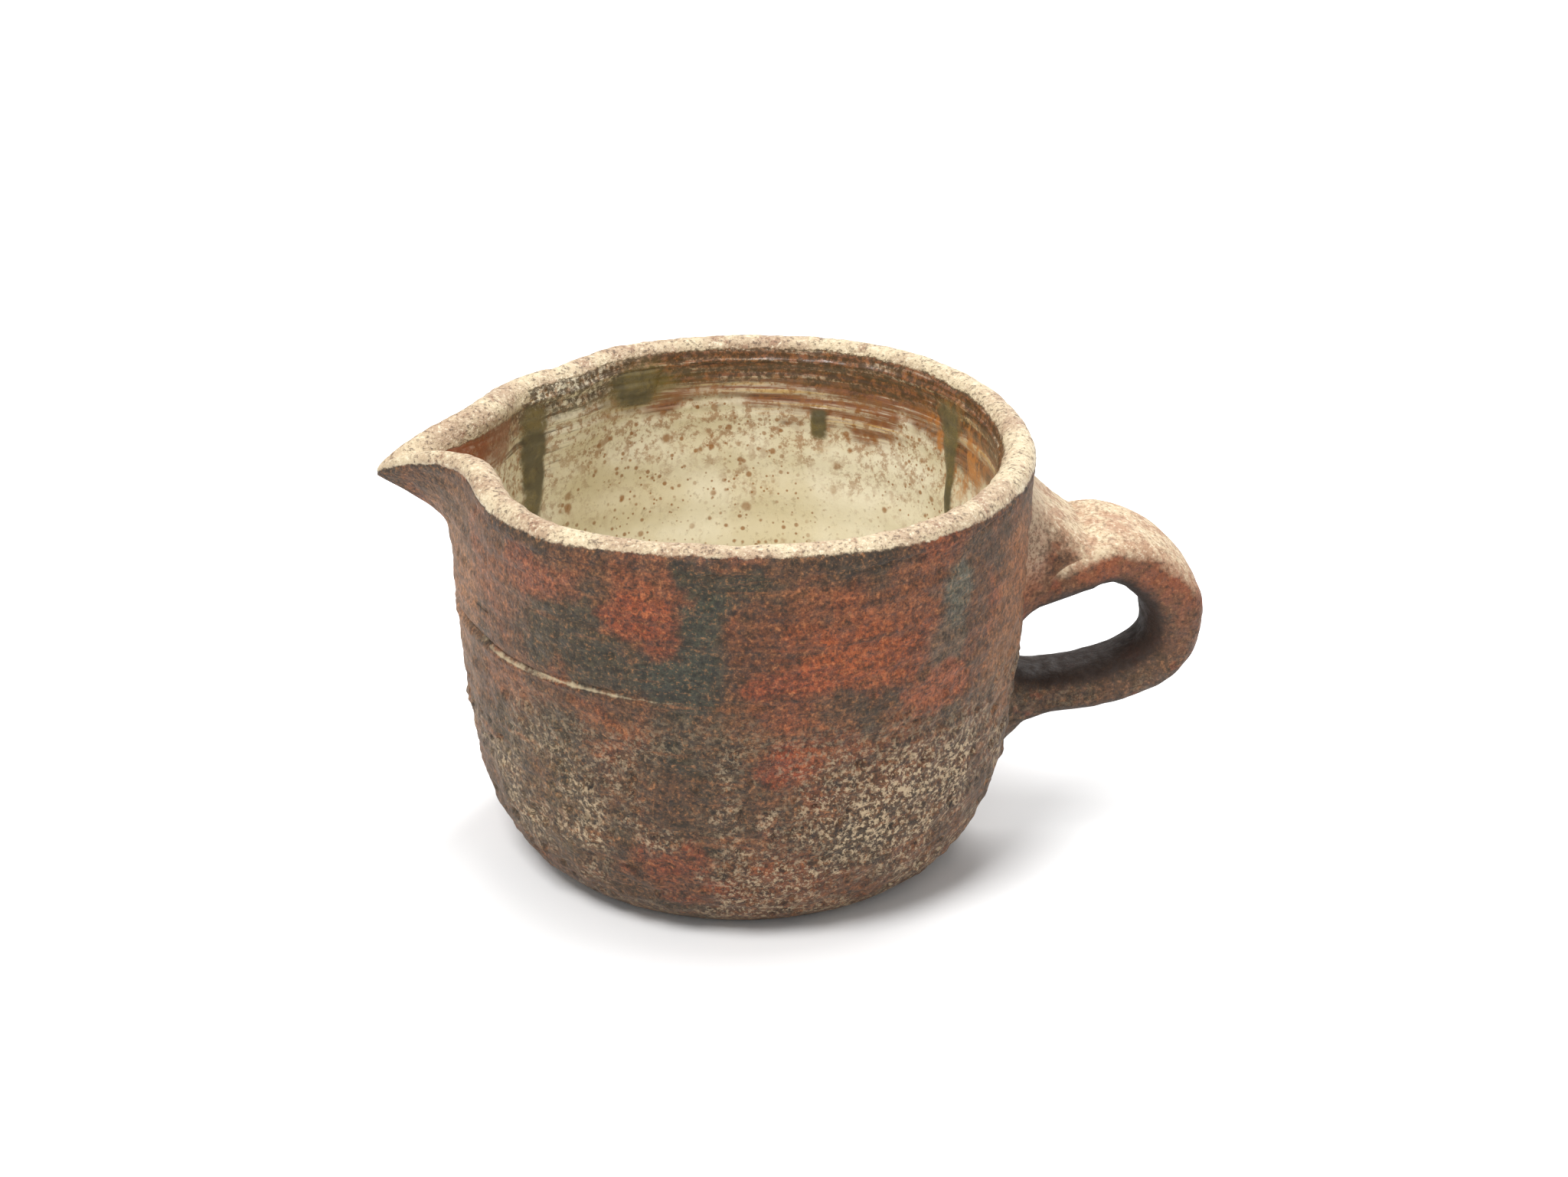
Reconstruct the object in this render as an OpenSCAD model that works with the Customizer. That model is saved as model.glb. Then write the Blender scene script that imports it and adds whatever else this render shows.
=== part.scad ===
// Small milk jug: a thrown stoneware body, a luted pouring spout, a pulled strap handle and its glazes.
// Units are millimetres. The origin is on the jug's axis at the base, +Z is up,
// the spout points along -X and the handle along +X.

/* [Body] */
// Height of the clay, from the base to the crest of the rim
body_h = 71.5; // [68:0.5:84]
// Radius of the flat base
foot_r = 33; // [30:0.5:36]
// Radius that the heel curve aims for
heel_aim_r = 42; // [40:0.5:43]
// Height that the heel curve aims for
heel_aim_z = 4.5; // [3:0.5:6]
// Radius where the heel runs into the wall
belly_r = 44.5; // [43.5:0.5:46]
// Height where the heel runs into the wall
belly_z = 20; // [17:0.5:22]
// Radius that the wall curve aims for
wall_aim_r = 48.6; // [47:0.2:50]
// Height that the wall curve aims for
wall_aim_z = 48; // [44:1:50]
// Outside radius of the clay at the rim
rim_r = 47.6; // [46.5:0.1:50]
// Thickness of the clay wall at the belly
wall_t = 4.1; // [3.5:0.1:5]
// Thickness of the clay at the rim
rim_t = 4.8; // [4:0.1:5.4]
// Height of the rounded part of the rim
rim_round = 2.4; // [1.6:0.1:3]
// Thickness of the floor
floor_t = 6.2; // [5:0.1:8]
// Radius of the flat middle of the floor
well_flat_r = 22; // [16:0.5:25]
// Rise of the floor from its flat middle to the start of the inner wall
well_lift = 1; // [0.6:0.1:2]

/* [Spout] */
// How far the spout's tip stands out from the rim
spout_reach = 12.2; // [8:0.2:15]
// Drop of the spout's tip below the rim's crest
spout_droop = 5.8; // [4:0.2:7]
// Half of the angle of the rim that the spout's clay takes up
spout_half_angle = 32; // [26:1:36]
// Depth of the spout's clay below the rim's crest
spout_drop = 20; // [17:0.5:23]
// Angle over which the beak falls to a third of its reach
beak_spread = 7.5; // [6:0.5:9]
// Angle that rounds the beak's nose
beak_nose = 0.8; // [0.5:0.1:1.5]
// Thickness of the lip at the beak's tip
lip_tip_t = 1.5; // [1:0.1:2.4]
// Rise of the straight throat below the beak
throat_rise = 6.5; // [4:0.5:8]
// How far the channel's floor is hollowed in from its outer end
channel_hollow_in = 4.6; // [3.6:0.2:5.4]
// How far the channel's floor is hollowed down from its outer end
channel_hollow_down = 3.4; // [2.6:0.2:4]
// Height of the beak's chin above the foot of the throat
chin_rise = 7.4; // [6.4:0.1:9]
// How far the chin stands out from the rim radius
chin_out = 1.9; // [1:0.1:3]
// How far the channel runs out from the inner rim
channel_reach = 9.3; // [6:0.1:10]
// Drop of the channel's outer end below the rim's crest
channel_sill = 3.6; // [2.8:0.1:4.4]
// How far the rim is pinched in on each side of the beak
throat_pinch = 2; // [0:0.1:2.5]
// How far the rim lifts on each side of the beak
throat_lift = 1.1; // [0:0.1:1.8]

/* [Handle] */
// Distance from the jug's axis to the middle of the strap at its outermost bend
handle_out = 73.1; // [68:0.5:80]
// Height of that bend
handle_bend_z = 37.7; // [35:0.5:40]
// Height of the strap's middle where it leaves the upper root's worked clay
handle_top_z = 49.6; // [46:0.2:51]
// Height of the strap's middle where it meets the lower root
handle_low_z = 23.8; // [22:0.2:26]
// Length of the strap's straight run out of the upper root, which sets its first curve
handle_run = 9; // [7:0.5:12]
// Rise of that straight run
handle_spring = 3.2; // [2:0.2:4.6]
// Height that the curve keeps upright above the outermost bend
bend_above = 5; // [4:0.5:8]
// Height that the curve keeps upright below the outermost bend
bend_below = 2.2; // [1.5:0.1:4]
// How far the lower curve aims past the outermost bend
low_aim_out = 3; // [0:0.5:4]
// Rise of the lower curve's aim above the lower root
low_aim_up = 1.2; // [0:0.2:2.4]
// Width of the strap at its upper root
strap_top_w = 24.4; // [20:0.4:27]
// Width of the strap at the outermost bend
strap_bend_w = 14; // [11:0.5:17]
// Width of the strap at its lower root
strap_low_w = 11; // [9:0.5:14]
// Thickness of the strap at its upper root
strap_top_t = 9.2; // [7:0.2:10]
// Thickness of the strap at the outermost bend
strap_bend_t = 10.2; // [8:0.2:11]
// Thickness of the strap at its lower root
strap_low_t = 8; // [6:0.2:9]
// Squareness of the strap's section, where 2 is an oval
strap_square = 3; // [2.2:0.1:4]
// How much wider the strap's end is where it is pressed on the wall
root_flare = 1.12; // [1:0.02:1.25]
// Turn of the handle about the jug's axis, from the line of the spout
handle_turn = 6; // [-10:1:10]

/* [Worked clay at the roots] */
// Length of strap that the worked clay covers at the upper root
top_lute_out = 9; // [7:0.5:10]
// Length of strap that the worked clay covers at the lower root
low_lute_out = 5; // [4:0.2:6]
// Spread of the worked clay on the wall above the upper root
over_spread = 12; // [8:0.25:13]
// Spread of the worked clay on the wall below the upper root
under_spread = 2.5; // [2:0.25:5]
// Spread of the worked clay on the wall beside each root
side_spread = 2.25; // [1.5:0.25:4]
// How much the thumbed tail narrows towards its end
tail_narrowing = 0.35; // [0:0.05:0.6]
// Hollowness of the worked clay at the roots, where 1 is a straight slope
lute_hollow = 1.6; // [1.2:0.1:2.4]
// Hollowness of the thumbed tail
tail_hollow = 1.2; // [1:0.1:1.8]
// Height at which the thumbed tail below the handle dies out
tail_end_z = 7; // [5:0.5:11]
// Thickness of the worked clay at its edge
lute_edge_t = 0.35; // [0.3:0.05:0.8]

/* [Glaze] */
// Thickness of the glaze that lines the inside
lining_t = 0.5; // [0.3:0.05:0.8]
// Thickness of the glaze on the rim
rim_glaze_t = 0.4; // [0.3:0.05:0.6]
// Thickness of the glaze in the spout
spout_glaze_t = 0.45; // [0.3:0.05:0.6]
// Greatest thickness of the glaze runs
run_t = 0.8; // [0.5:0.1:1.4]
// Film between pieces that are fired onto each other
slip_film = 0.1; // [0.06:0.02:0.2]

/* [Hidden] */
$fn = 96;

// Steps along the curves of the revolved pieces
heel_steps = 8;
wall_steps = 10;
rim_steps = 9;
// Sections of the spout on each side of its middle, and points along one section
spout_sides = 14;
throat_steps = 9;
lip_steps = 7;
// Points round the strap, rings along each half of it, and points across the worked clay
strap_points = 24;
strap_rings = 15;
lute_steps = 6;
// Columns and rows of a glaze run
run_columns = 8;
run_rows = 14;

// Heights where the rounded rim and the spout's clay begin
rim_z = body_h - rim_round;
spout_z = body_h - spout_drop;

// Each run of thick glaze: bearing and half width in degrees, and its upper and lower ends
// as shares of the way from the base to the rim's crest
glaze_run_places = [
    [147, 3.5, 0.92, 0.64],
    [34, 4.5, 0.93, 0.58],
    [115, 9, 0.92, 0.85],
    [71, 3, 0.83, 0.76]
];

clay = [0.66, 0.41, 0.29];
ash_clay = [0.62, 0.52, 0.44];
strap_clay = [0.50, 0.28, 0.18];
cream = [0.84, 0.80, 0.62];
pale_cream = [0.83, 0.76, 0.66];
olive = [0.47, 0.43, 0.24];

// Curves
function mix(a, b, t) = a + (b - a) * t;
function bez2(a, b, c, t) = mix(mix(a, b, t), mix(b, c, t), t);
function bez3(a, b, c, d, t) = mix(bez2(a, b, c, t), bez2(b, c, d, t), t);
function unit(v) = v / norm(v);

// Place along a quadratic curve at which it reaches height z
function place_at(z0, zc, z1, z) =
    let (a = z0 - 2 * zc + z1, b = 2 * (zc - z0), c = z0 - z)
    abs(a) < 1e-6 ? -c / b : (sqrt(max(0, b * b - 4 * a * c)) - b) / (2 * a);

// Outside radius of the clay at height z
function outer_r(z) = z <= belly_z
    ? bez2(foot_r, heel_aim_r, belly_r, place_at(0, heel_aim_z, belly_z, z))
    : bez2(belly_r, wall_aim_r, rim_r, place_at(belly_z, wall_aim_z, body_h, z));

// Inside radius of the clay at a height above the belly
function inner_r(z) = bez2(
    belly_r - wall_t, wall_aim_r - wall_t, rim_r - rim_t,
    place_at(belly_z, wall_aim_z, body_h, z)
);

// The same curve moved sideways by d, to its left
function moved(p, d) = [
    for (i = [0 : len(p) - 1])
        let (
            a = p[max(0, i - 1)],
            b = p[min(len(p) - 1, i + 1)],
            u = unit(b - a)
        )
        p[i] + d * [-u[1], u[0]]
];

function turned_back(p) = [for (i = [len(p) - 1 : -1 : 0]) p[i]];

// Profile curves, as points of radius and height
heel_curve = [
    for (i = [0 : heel_steps])
        bez2([foot_r, 0], [heel_aim_r, heel_aim_z], [belly_r, belly_z], i / heel_steps)
];
wall_curve = [
    for (i = [1 : wall_steps])
        let (z = mix(belly_z, rim_z, i / wall_steps))
        [outer_r(z), z]
];
rim_curve = [
    for (i = [1 : rim_steps - 1])
        let (
            a = 180 * i / rim_steps,
            middle = (outer_r(rim_z) + inner_r(rim_z)) / 2,
            half = (outer_r(rim_z) - inner_r(rim_z)) / 2
        )
        [middle + half * cos(a), rim_z + rim_round * sin(a)]
];
inner_curve = [
    for (i = [wall_steps : -1 : 1])
        let (z = mix(belly_z, rim_z, i / wall_steps))
        [inner_r(z), z]
];
well_curve = [
    for (i = [0 : heel_steps])
        bez2(
            [belly_r - wall_t, belly_z],
            [heel_aim_r - wall_t, floor_t + well_lift],
            [well_flat_r, floor_t],
            i / heel_steps
        )
];

// The sector of the rim that the spout's clay takes up
module spout_sector() {
    far = handle_out;
    side = far * tan(spout_half_angle);
    translate([0, 0, spout_z])
        linear_extrude(height = body_h)
            polygon([[0, 0], [-far, side], [-far, -side]]);
}

// Solid through like sections, closed by a face at each end
module loft(sections) {
    n = len(sections[0]);
    m = len(sections);
    points = [for (s = sections) each s];
    sides = [
        for (j = [0 : m - 2], i = [0 : n - 1])
            let (a = j * n + i, b = j * n + (i + 1) % n)
            each [[a, b, b + n], [a, b + n, a + n]]
    ];
    first = [for (i = [0 : n - 1]) n - 1 - i];
    last = [for (i = [0 : n - 1]) (m - 1) * n + i];
    polyhedron(points, concat(sides, [first, last]), convexity = 6);
}

// Solid through like sections that come back to the first one
module ring_loft(sections) {
    n = len(sections[0]);
    m = len(sections);
    points = [for (s = sections) each s];
    faces = [
        for (j = [0 : m - 1], i = [0 : n - 1])
            let (
                k = (j + 1) % m,
                a = j * n + i,
                b = j * n + (i + 1) % n,
                c = k * n + (i + 1) % n,
                d = k * n + i
            )
            each [[a, b, c], [a, c, d]]
    ];
    polyhedron(points, faces, convexity = 6);
}

module thrown_body() {
    color(clay)
        difference() {
            rotate_extrude()
                polygon(concat(
                    [[0, 0]], heel_curve, wall_curve, rim_curve, inner_curve, well_curve,
                    [[0, floor_t]]
                ));
            spout_sector();
        }
}

// The spout is drawn as upright sections through the jug's axis.
// Each one lies between the plain wall's section and the beak's section.
spout_end_angle = spout_half_angle - atan(slip_film / (rim_r - rim_t));
spout_base_z = spout_z + slip_film;

function beak_fall(a) = exp(-(sqrt(a * a + beak_nose * beak_nose) - beak_nose) / beak_spread);
function beak_weight(a) =
    (beak_fall(a) - beak_fall(spout_end_angle)) / (1 - beak_fall(spout_end_angle));
function side_weight(a) = pow(sin(180 * abs(a) / spout_end_angle), 2);

beak_tip = [rim_r + spout_reach, body_h - spout_droop];
channel_end = [rim_r - rim_t + channel_reach, body_h - channel_sill];

// One point of the section at angle a, from its plain place, its beak place and its share of height
function spout_point(a, plain, beak, rise) =
    let (k = beak_weight(a), s = side_weight(a))
    [
        mix(plain[0], beak[0], k) - throat_pinch * s * rise,
        mix(plain[1], beak[1], k * k) + throat_lift * s * rise * rise
    ];

function spout_outside(a) = [
    for (i = [0 : throat_steps])
        let (
            t = i / throat_steps,
            z = mix(spout_base_z, rim_z, t),
            foot = [outer_r(spout_base_z), spout_base_z],
            beak = bez3(
                foot,
                foot + [0.1, throat_rise],
                [rim_r + chin_out, spout_base_z + chin_rise],
                beak_tip - [0.2, lip_tip_t / 2],
                t
            )
        )
        spout_point(a, [outer_r(z), z], beak, t)
];

function spout_lip(a) = [
    for (i = [1 : lip_steps])
        let (
            t = i / (lip_steps + 1),
            middle = (outer_r(rim_z) + inner_r(rim_z)) / 2,
            half = (outer_r(rim_z) - inner_r(rim_z)) / 2,
            plain = [middle + half * cos(180 * t), rim_z + rim_round * sin(180 * t)],
            beak = bez3(
                beak_tip - [0.2, lip_tip_t / 2],
                beak_tip + [0.3, lip_tip_t * 0.7],
                channel_end + [2.2, 1.4],
                channel_end,
                t
            )
        )
        spout_point(a, plain, beak, 1)
];

function spout_inside(a) = [
    for (i = [throat_steps : -1 : 0])
        let (
            t = i / throat_steps,
            z = mix(spout_base_z, rim_z, t),
            foot = [inner_r(spout_base_z), spout_base_z],
            beak = bez3(
                foot,
                foot + [0.6, throat_rise],
                channel_end - [channel_hollow_in, channel_hollow_down],
                channel_end,
                t
            )
        )
        spout_point(a, [inner_r(z), z], beak, t)
];

// Bearings of the spout's sections, closest together at the beak
spout_angles = [
    for (i = [-spout_sides : spout_sides])
        let (u = i / spout_sides)
        sign(u) * pow(abs(u), 1.6) * spout_end_angle
];

// A section point stood up at its bearing, with the spout along -X
function stood(p, a) = [-p[0] * cos(a), p[0] * sin(a), p[1]];

module spout() {
    color(clay)
        loft([
            for (a = spout_angles)
                let (section = concat(spout_outside(a), spout_lip(a), spout_inside(a)))
                [for (p = turned_back(section)) stood(p, a)]
        ]);
}

// The strap: two curves that meet at the outermost bend, as points of reach and height
strap_start = [outer_r(handle_top_z) + top_lute_out, handle_top_z];
strap_bend = [handle_out, handle_bend_z];
strap_finish = [outer_r(handle_low_z) + low_lute_out, handle_low_z];

function strap_middle(u) = u <= 1
    ? bez3(
        strap_start,
        strap_start + [handle_run, handle_spring],
        strap_bend + [0, bend_above],
        strap_bend,
        u
    )
    : bez3(
        strap_bend,
        strap_bend - [0, bend_below],
        [handle_out + low_aim_out, handle_low_z + low_aim_up],
        strap_finish,
        u - 1
    );
function strap_run(u) = unit(strap_middle(min(2, u + 0.01)) - strap_middle(max(0, u - 0.01)));
function strap_w(u) = u <= 1
    ? mix(strap_top_w, strap_bend_w, pow(u, 0.8))
    : mix(strap_bend_w, strap_low_w, u - 1);
function strap_t(u) = u <= 1
    ? mix(strap_top_t, strap_bend_t, u)
    : mix(strap_bend_t, strap_low_t, u - 1);

// Round the section: side is across the strap and rise is towards its outer face
function bearing(i) = 360 * (i + 0.5) / strap_points;
function square_off(v) = sign(v) * pow(abs(v), 2 / strap_square);
function square_normal(v) = sign(v) * pow(abs(v), 2 - 2 / strap_square);

function strap_ring(u) = [
    for (i = [0 : strap_points - 1])
        let (
            middle = strap_middle(u),
            along = strap_run(u),
            side = strap_w(u) / 2 * square_off(cos(bearing(i))),
            rise = strap_t(u) / 2 * square_off(sin(bearing(i)))
        )
        [middle[0] - along[1] * rise, side, middle[1] + along[0] * rise]
];

// Outward direction of each point of a ring, as seen along the strap, with up as for a lute
function ring_normals(w, t, up) = [
    for (i = [0 : strap_points - 1])
        unit([square_normal(cos(bearing(i))) / w, up * square_normal(sin(bearing(i))) / t])
];

// A place on the wall, a film clear of it, from its distance to the side and its height
function on_wall(side, z) = [sqrt(pow(outer_r(z), 2) - side * side) + slip_film, side, z];

// The end of the strap on the wall, which is the ring at u carried on to the wall and flared
function root_ring(u, slope) = [
    for (p = strap_ring(u))
        let (
            middle = strap_middle(u),
            carry = p[0] - outer_r(p[2]),
            z = p[2] - slope * carry,
            root_z = middle[1] - slope * (middle[0] - outer_r(middle[1]))
        )
        on_wall(p[1] * root_flare, root_z + (z - root_z) * root_flare)
];

top_slope = strap_run(0)[1] / strap_run(0)[0];
low_slope = strap_run(2)[1] / strap_run(2)[0];
top_root = root_ring(0, top_slope);
low_root = root_ring(2, low_slope);
strap_all = concat(
    [top_root],
    [for (j = [0 : 2 * strap_rings]) strap_ring(j / strap_rings)],
    [low_root]
);

module handle() {
    n = strap_points;
    m = len(strap_all);
    sides = [
        for (j = [0 : m - 2], i = [0 : n - 1])
            let (a = j * n + i, b = j * n + (i + 1) % n)
            each [[a, b + n, b], [a, a + n, b + n]]
    ];
    ends = [
        for (i = [0 : n / 2 - 2])
            let (k = (m - 1) * n)
            each [
                [i, i + 1, n - 1 - i], [i + 1, n - 2 - i, n - 1 - i],
                [k + i, k + n - 1 - i, k + i + 1], [k + i + 1, k + n - 1 - i, k + n - 2 - i]
            ]
    ];
    color(strap_clay)
        rotate([0, 0, handle_turn])
            polyhedron([for (s = strap_all) each s], concat(sides, ends), convexity = 6);
}

// Clay worked over a root: root is the strap's end on the wall, ring is where the clay stops
// on the strap, normals point away from the strap, courses are the ways that the clay
// spreads on the wall, reach is how far, and hollow is the power of its falling curve.
// Up is 1 where the strap's outer face looks up and -1 where it looks down.
module lute(root, ring, normals, courses, reach, hollow, up) {
    sections = [
        for (i = [0 : strap_points - 1])
            let (
                out = normals[i],
                start = [root[i][1], root[i][2]] + slip_film * out,
                seat = [
                    for (j = [0 : lute_steps])
                        let (s = start + courses[i] * reach[i] * j / lute_steps)
                        on_wall(s[0], s[1])
                ],
                lip = ring[i] + slip_film * [0, out[0], out[1]] - seat[0],
                edge = lute_edge_t / norm(lip),
                skin = [
                    for (j = [lute_steps : -1 : 0])
                        seat[j] + lip * mix(edge, 1, pow(1 - j / lute_steps, hollow[i]))
                ]
            )
            concat(seat, skin)
    ];
    ring_loft(up > 0 ? sections : turned_back(sections));
}

module handle_upper_lute() {
    normals = ring_normals(strap_top_w, strap_top_t, 1);
    color(ash_clay)
        rotate([0, 0, handle_turn])
            lute(
                top_root,
                strap_ring(0),
                normals,
                normals,
                [
                    for (v = normals)
                        mix(side_spread, v[1] > 0 ? over_spread : under_spread, pow(v[1], 4))
                ],
                [for (v = normals) lute_hollow],
                1
            );
}

module handle_lower_lute() {
    normals = ring_normals(strap_low_w, strap_low_t, -1);
    // The clay below the strap is drawn straight down into the thumbed tail
    down = [for (v = normals) pow(max(0, -v[1]), 3)];
    courses = [
        for (i = [0 : strap_points - 1])
            let (inward = -tail_narrowing * low_root[i][1] / strap_low_w)
            unit(mix(normals[i], [inward, -1], down[i]))
    ];
    reach = [
        for (i = [0 : strap_points - 1])
            mix(side_spread, low_root[i][2] - tail_end_z, down[i])
    ];
    color(ash_clay)
        rotate([0, 0, handle_turn])
            lute(
                low_root,
                strap_ring(2),
                normals,
                courses,
                reach,
                [for (d = down) mix(lute_hollow, tail_hollow, d)],
                -1
            );
}

// Glaze skins: the surface below, moved out by a film and by a film and the glaze
module glaze_lining() {
    surface = concat(inner_curve, well_curve, [[0, floor_t]]);
    bottom = moved(surface, -slip_film);
    top = moved(surface, -slip_film - lining_t);
    last = len(surface) - 1;
    color(cream)
        difference() {
            rotate_extrude()
                polygon(concat(
                    [for (i = [0 : last - 1]) bottom[i]],
                    [[0, floor_t + slip_film], [0, floor_t + slip_film + lining_t]],
                    [for (i = [last - 1 : -1 : 0]) top[i]]
                ));
            spout_sector();
        }
}

module rim_glaze() {
    surface = concat(
        [[outer_r(rim_z), rim_z]],
        rim_curve,
        [[inner_r(rim_z), rim_z + slip_film]]
    );
    color(pale_cream)
        difference() {
            rotate_extrude()
                polygon(concat(
                    moved(surface, -slip_film),
                    turned_back(moved(surface, -slip_film - rim_glaze_t))
                ));
            spout_sector();
        }
}

module spout_glaze() {
    color(pale_cream)
        loft([
            for (a = spout_angles)
                let (surface = concat(spout_lip(a), spout_inside(a)))
                [
                    for (p = concat(
                        moved(surface, -slip_film),
                        turned_back(moved(surface, -slip_film - spout_glaze_t))
                    ))
                        stood(p, a)
                ]
        ]);
}

// Each run is a shallow swelling that lies on the lining and thins towards its edges
module glaze_run(place) {
    sections = [
        for (i = [0 : run_columns])
            let (
                u = 2 * i / run_columns - 1,
                a = place[0] + u * place[1],
                back = [
                    for (j = [0 : run_rows])
                        let (z = body_h * mix(place[2], place[3], j / run_rows))
                        [inner_r(z) - lining_t - 2 * slip_film, z]
                ],
                front = [
                    for (j = [run_rows : -1 : 0])
                        let (
                            v = 2 * j / run_rows - 1,
                            swell = (1 - u * u) * (1 - v * v)
                        )
                        back[j] - [mix(run_t / 4, run_t, swell), 0]
                ]
            )
            [
                for (p = turned_back(concat(back, front)))
                    [p[0] * cos(a), p[0] * sin(a), p[1]]
            ]
    ];
    loft(sections);
}

module glaze_runs() {
    color(olive)
        for (place = glaze_run_places)
            glaze_run(place);
}

thrown_body();
spout();
handle();
handle_upper_lute();
handle_lower_lute();
glaze_lining();
rim_glaze();
spout_glaze();
glaze_runs();
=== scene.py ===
import math

import bpy
import numpy as np
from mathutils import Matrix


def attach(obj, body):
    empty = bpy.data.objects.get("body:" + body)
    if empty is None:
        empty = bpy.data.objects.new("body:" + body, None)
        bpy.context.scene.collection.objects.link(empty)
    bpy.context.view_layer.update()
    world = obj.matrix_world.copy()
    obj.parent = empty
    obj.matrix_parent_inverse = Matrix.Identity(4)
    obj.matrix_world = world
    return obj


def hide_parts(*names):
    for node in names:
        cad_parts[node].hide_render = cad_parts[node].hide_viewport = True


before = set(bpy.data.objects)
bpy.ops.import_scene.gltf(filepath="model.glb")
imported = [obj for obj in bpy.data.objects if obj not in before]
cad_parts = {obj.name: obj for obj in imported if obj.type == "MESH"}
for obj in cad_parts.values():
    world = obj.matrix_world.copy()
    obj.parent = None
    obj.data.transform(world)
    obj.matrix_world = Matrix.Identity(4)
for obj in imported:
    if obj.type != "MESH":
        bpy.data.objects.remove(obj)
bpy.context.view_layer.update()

# Lengths are in millimetres until a mesh or a light gets them, and bearings are in degrees:
# 0 is the handle's side, +90 is away from the camera and 180 is the spout.
MM = 0.001

# The jug's sizes, as in the solids
BODY_H = 71.5
FOOT_R, HEEL_AIM_R, HEEL_AIM_Z = 33.0, 42.0, 4.5
BELLY_R, BELLY_Z = 44.5, 20.0
WALL_AIM_R, WALL_AIM_Z = 48.6, 48.0
RIM_R, RIM_T, RIM_ROUND = 47.6, 4.8, 2.4
WALL_T, FLOOR_T, WELL_FLAT_R, WELL_LIFT = 4.1, 6.2, 22.0, 1.0
RIM_Z = BODY_H - RIM_ROUND

SPOUT_ANGLE, SPOUT_DROP = 32.0, 20.0
SPOUT_REACH, SPOUT_DROOP = 12.2, 5.8
BEAK_SPREAD, BEAK_NOSE = 7.5, 0.8
LIP_TIP_T, THROAT_RISE = 1.5, 6.5
CHIN_RISE, CHIN_OUT = 7.4, 1.9
HOLLOW_IN, HOLLOW_DOWN = 4.6, 3.4
CHANNEL_REACH, CHANNEL_SILL = 9.3, 3.6
THROAT_PINCH, THROAT_LIFT = 2.0, 1.1
SPOUT_Z = BODY_H - SPOUT_DROP

HANDLE_TURN = 6.0
TOP_LUTE_OUT, LOW_LUTE_OUT = 9.0, 5.0
HANDLE_TOP_Z, HANDLE_LOW_Z = 49.6, 23.8
BEND_R, BEND_Z = 73.1, 37.7
HANDLE_RUN, HANDLE_SPRING = 9.0, 3.2
BEND_ABOVE, BEND_BELOW = 5.0, 2.2
LOW_AIM_OUT, LOW_AIM_UP = 3.0, 1.2
TOP_W, BEND_W, LOW_W = 24.4, 14.0, 11.0
TOP_T, BEND_T, LOW_T = 9.2, 10.2, 8.0
STRAP_SQUARE = 3.0
OVER_SPREAD, UNDER_SPREAD, SIDE_SPREAD = 12.0, 2.5, 2.25
FILLET_FULLNESS = 1.6
TAIL_END_Z, TAIL_NARROWING = 7.0, 0.35

LINING_T, RIM_GLAZE_T, RUN_T = 0.5, 0.45, 0.6
INCISED_Z = 46.4


# Curves and noise

def mix(a, b, t):
    return a + (b - a) * t


def bez2(a, b, c, t):
    return mix(mix(a, b, t), mix(b, c, t), t)


def bez3(a, b, c, d, t):
    return mix(bez2(a, b, c, t), bez2(b, c, d, t), t)


def smooth(x, low, high):
    t = np.clip((x - low) / (high - low), 0.0, 1.0)
    return t * t * (3 - 2 * t)


def place_at(z0, zc, z1, z):
    a, b, c = z0 - 2 * zc + z1, 2 * (zc - z0), z0 - z
    return (np.sqrt(np.maximum(0, b * b - 4 * a * c)) - b) / (2 * a)


def outer_r(z):
    z = np.asarray(z, float)
    heel = bez2(FOOT_R, HEEL_AIM_R, BELLY_R, place_at(0, HEEL_AIM_Z, BELLY_Z, np.minimum(z, BELLY_Z)))
    up = place_at(BELLY_Z, WALL_AIM_Z, BODY_H, np.maximum(z, BELLY_Z))
    return np.where(z <= BELLY_Z, heel, bez2(BELLY_R, WALL_AIM_R, RIM_R, up))


def inner_r(z):
    up = place_at(BELLY_Z, WALL_AIM_Z, BODY_H, np.asarray(z, float))
    return bez2(BELLY_R - WALL_T, WALL_AIM_R - WALL_T, RIM_R - RIM_T, up)


def lattice(ix, iy, iz, seed):
    """A fixed random value from 0 to 1 for each point of a whole-number lattice."""
    h = (ix * 73856093) ^ (iy * 19349663) ^ (iz * 83492791) ^ (seed * 2654435761)
    h = (h ^ (h >> 13)) * 1274126177
    h = (h ^ (h >> 16)) & 0xFFFFFF
    return h / float(0xFFFFFF)


def grain(points, size, seed):
    """Smooth noise from -1 to 1 whose lumps are about size across."""
    p = np.asarray(points, float) / size + 512.0
    cell = np.floor(p).astype(np.int64)
    f = p - cell
    f = f * f * (3 - 2 * f)
    total = 0.0
    for dx in (0, 1):
        wx = f[:, 0] if dx else 1 - f[:, 0]
        for dy in (0, 1):
            wy = f[:, 1] if dy else 1 - f[:, 1]
            for dz in (0, 1):
                wz = f[:, 2] if dz else 1 - f[:, 2]
                value = lattice(cell[:, 0] + dx, cell[:, 1] + dy, cell[:, 2] + dz, seed)
                total = total + wx * wy * wz * value
    return total * 2 - 1


def bump(bearing, middle, width):
    """A soft hump of height 1 round the jug, about a bearing."""
    off = (bearing - middle + 180) % 360 - 180
    return np.exp(-(off / width) ** 2)


# Blanks, made with operators, and the pressing of them

def open_mesh(kind):
    bpy.ops.object.mode_set(mode="EDIT")
    bpy.ops.mesh.select_mode(type=kind)
    bpy.ops.mesh.select_all(action="DESELECT")


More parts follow.
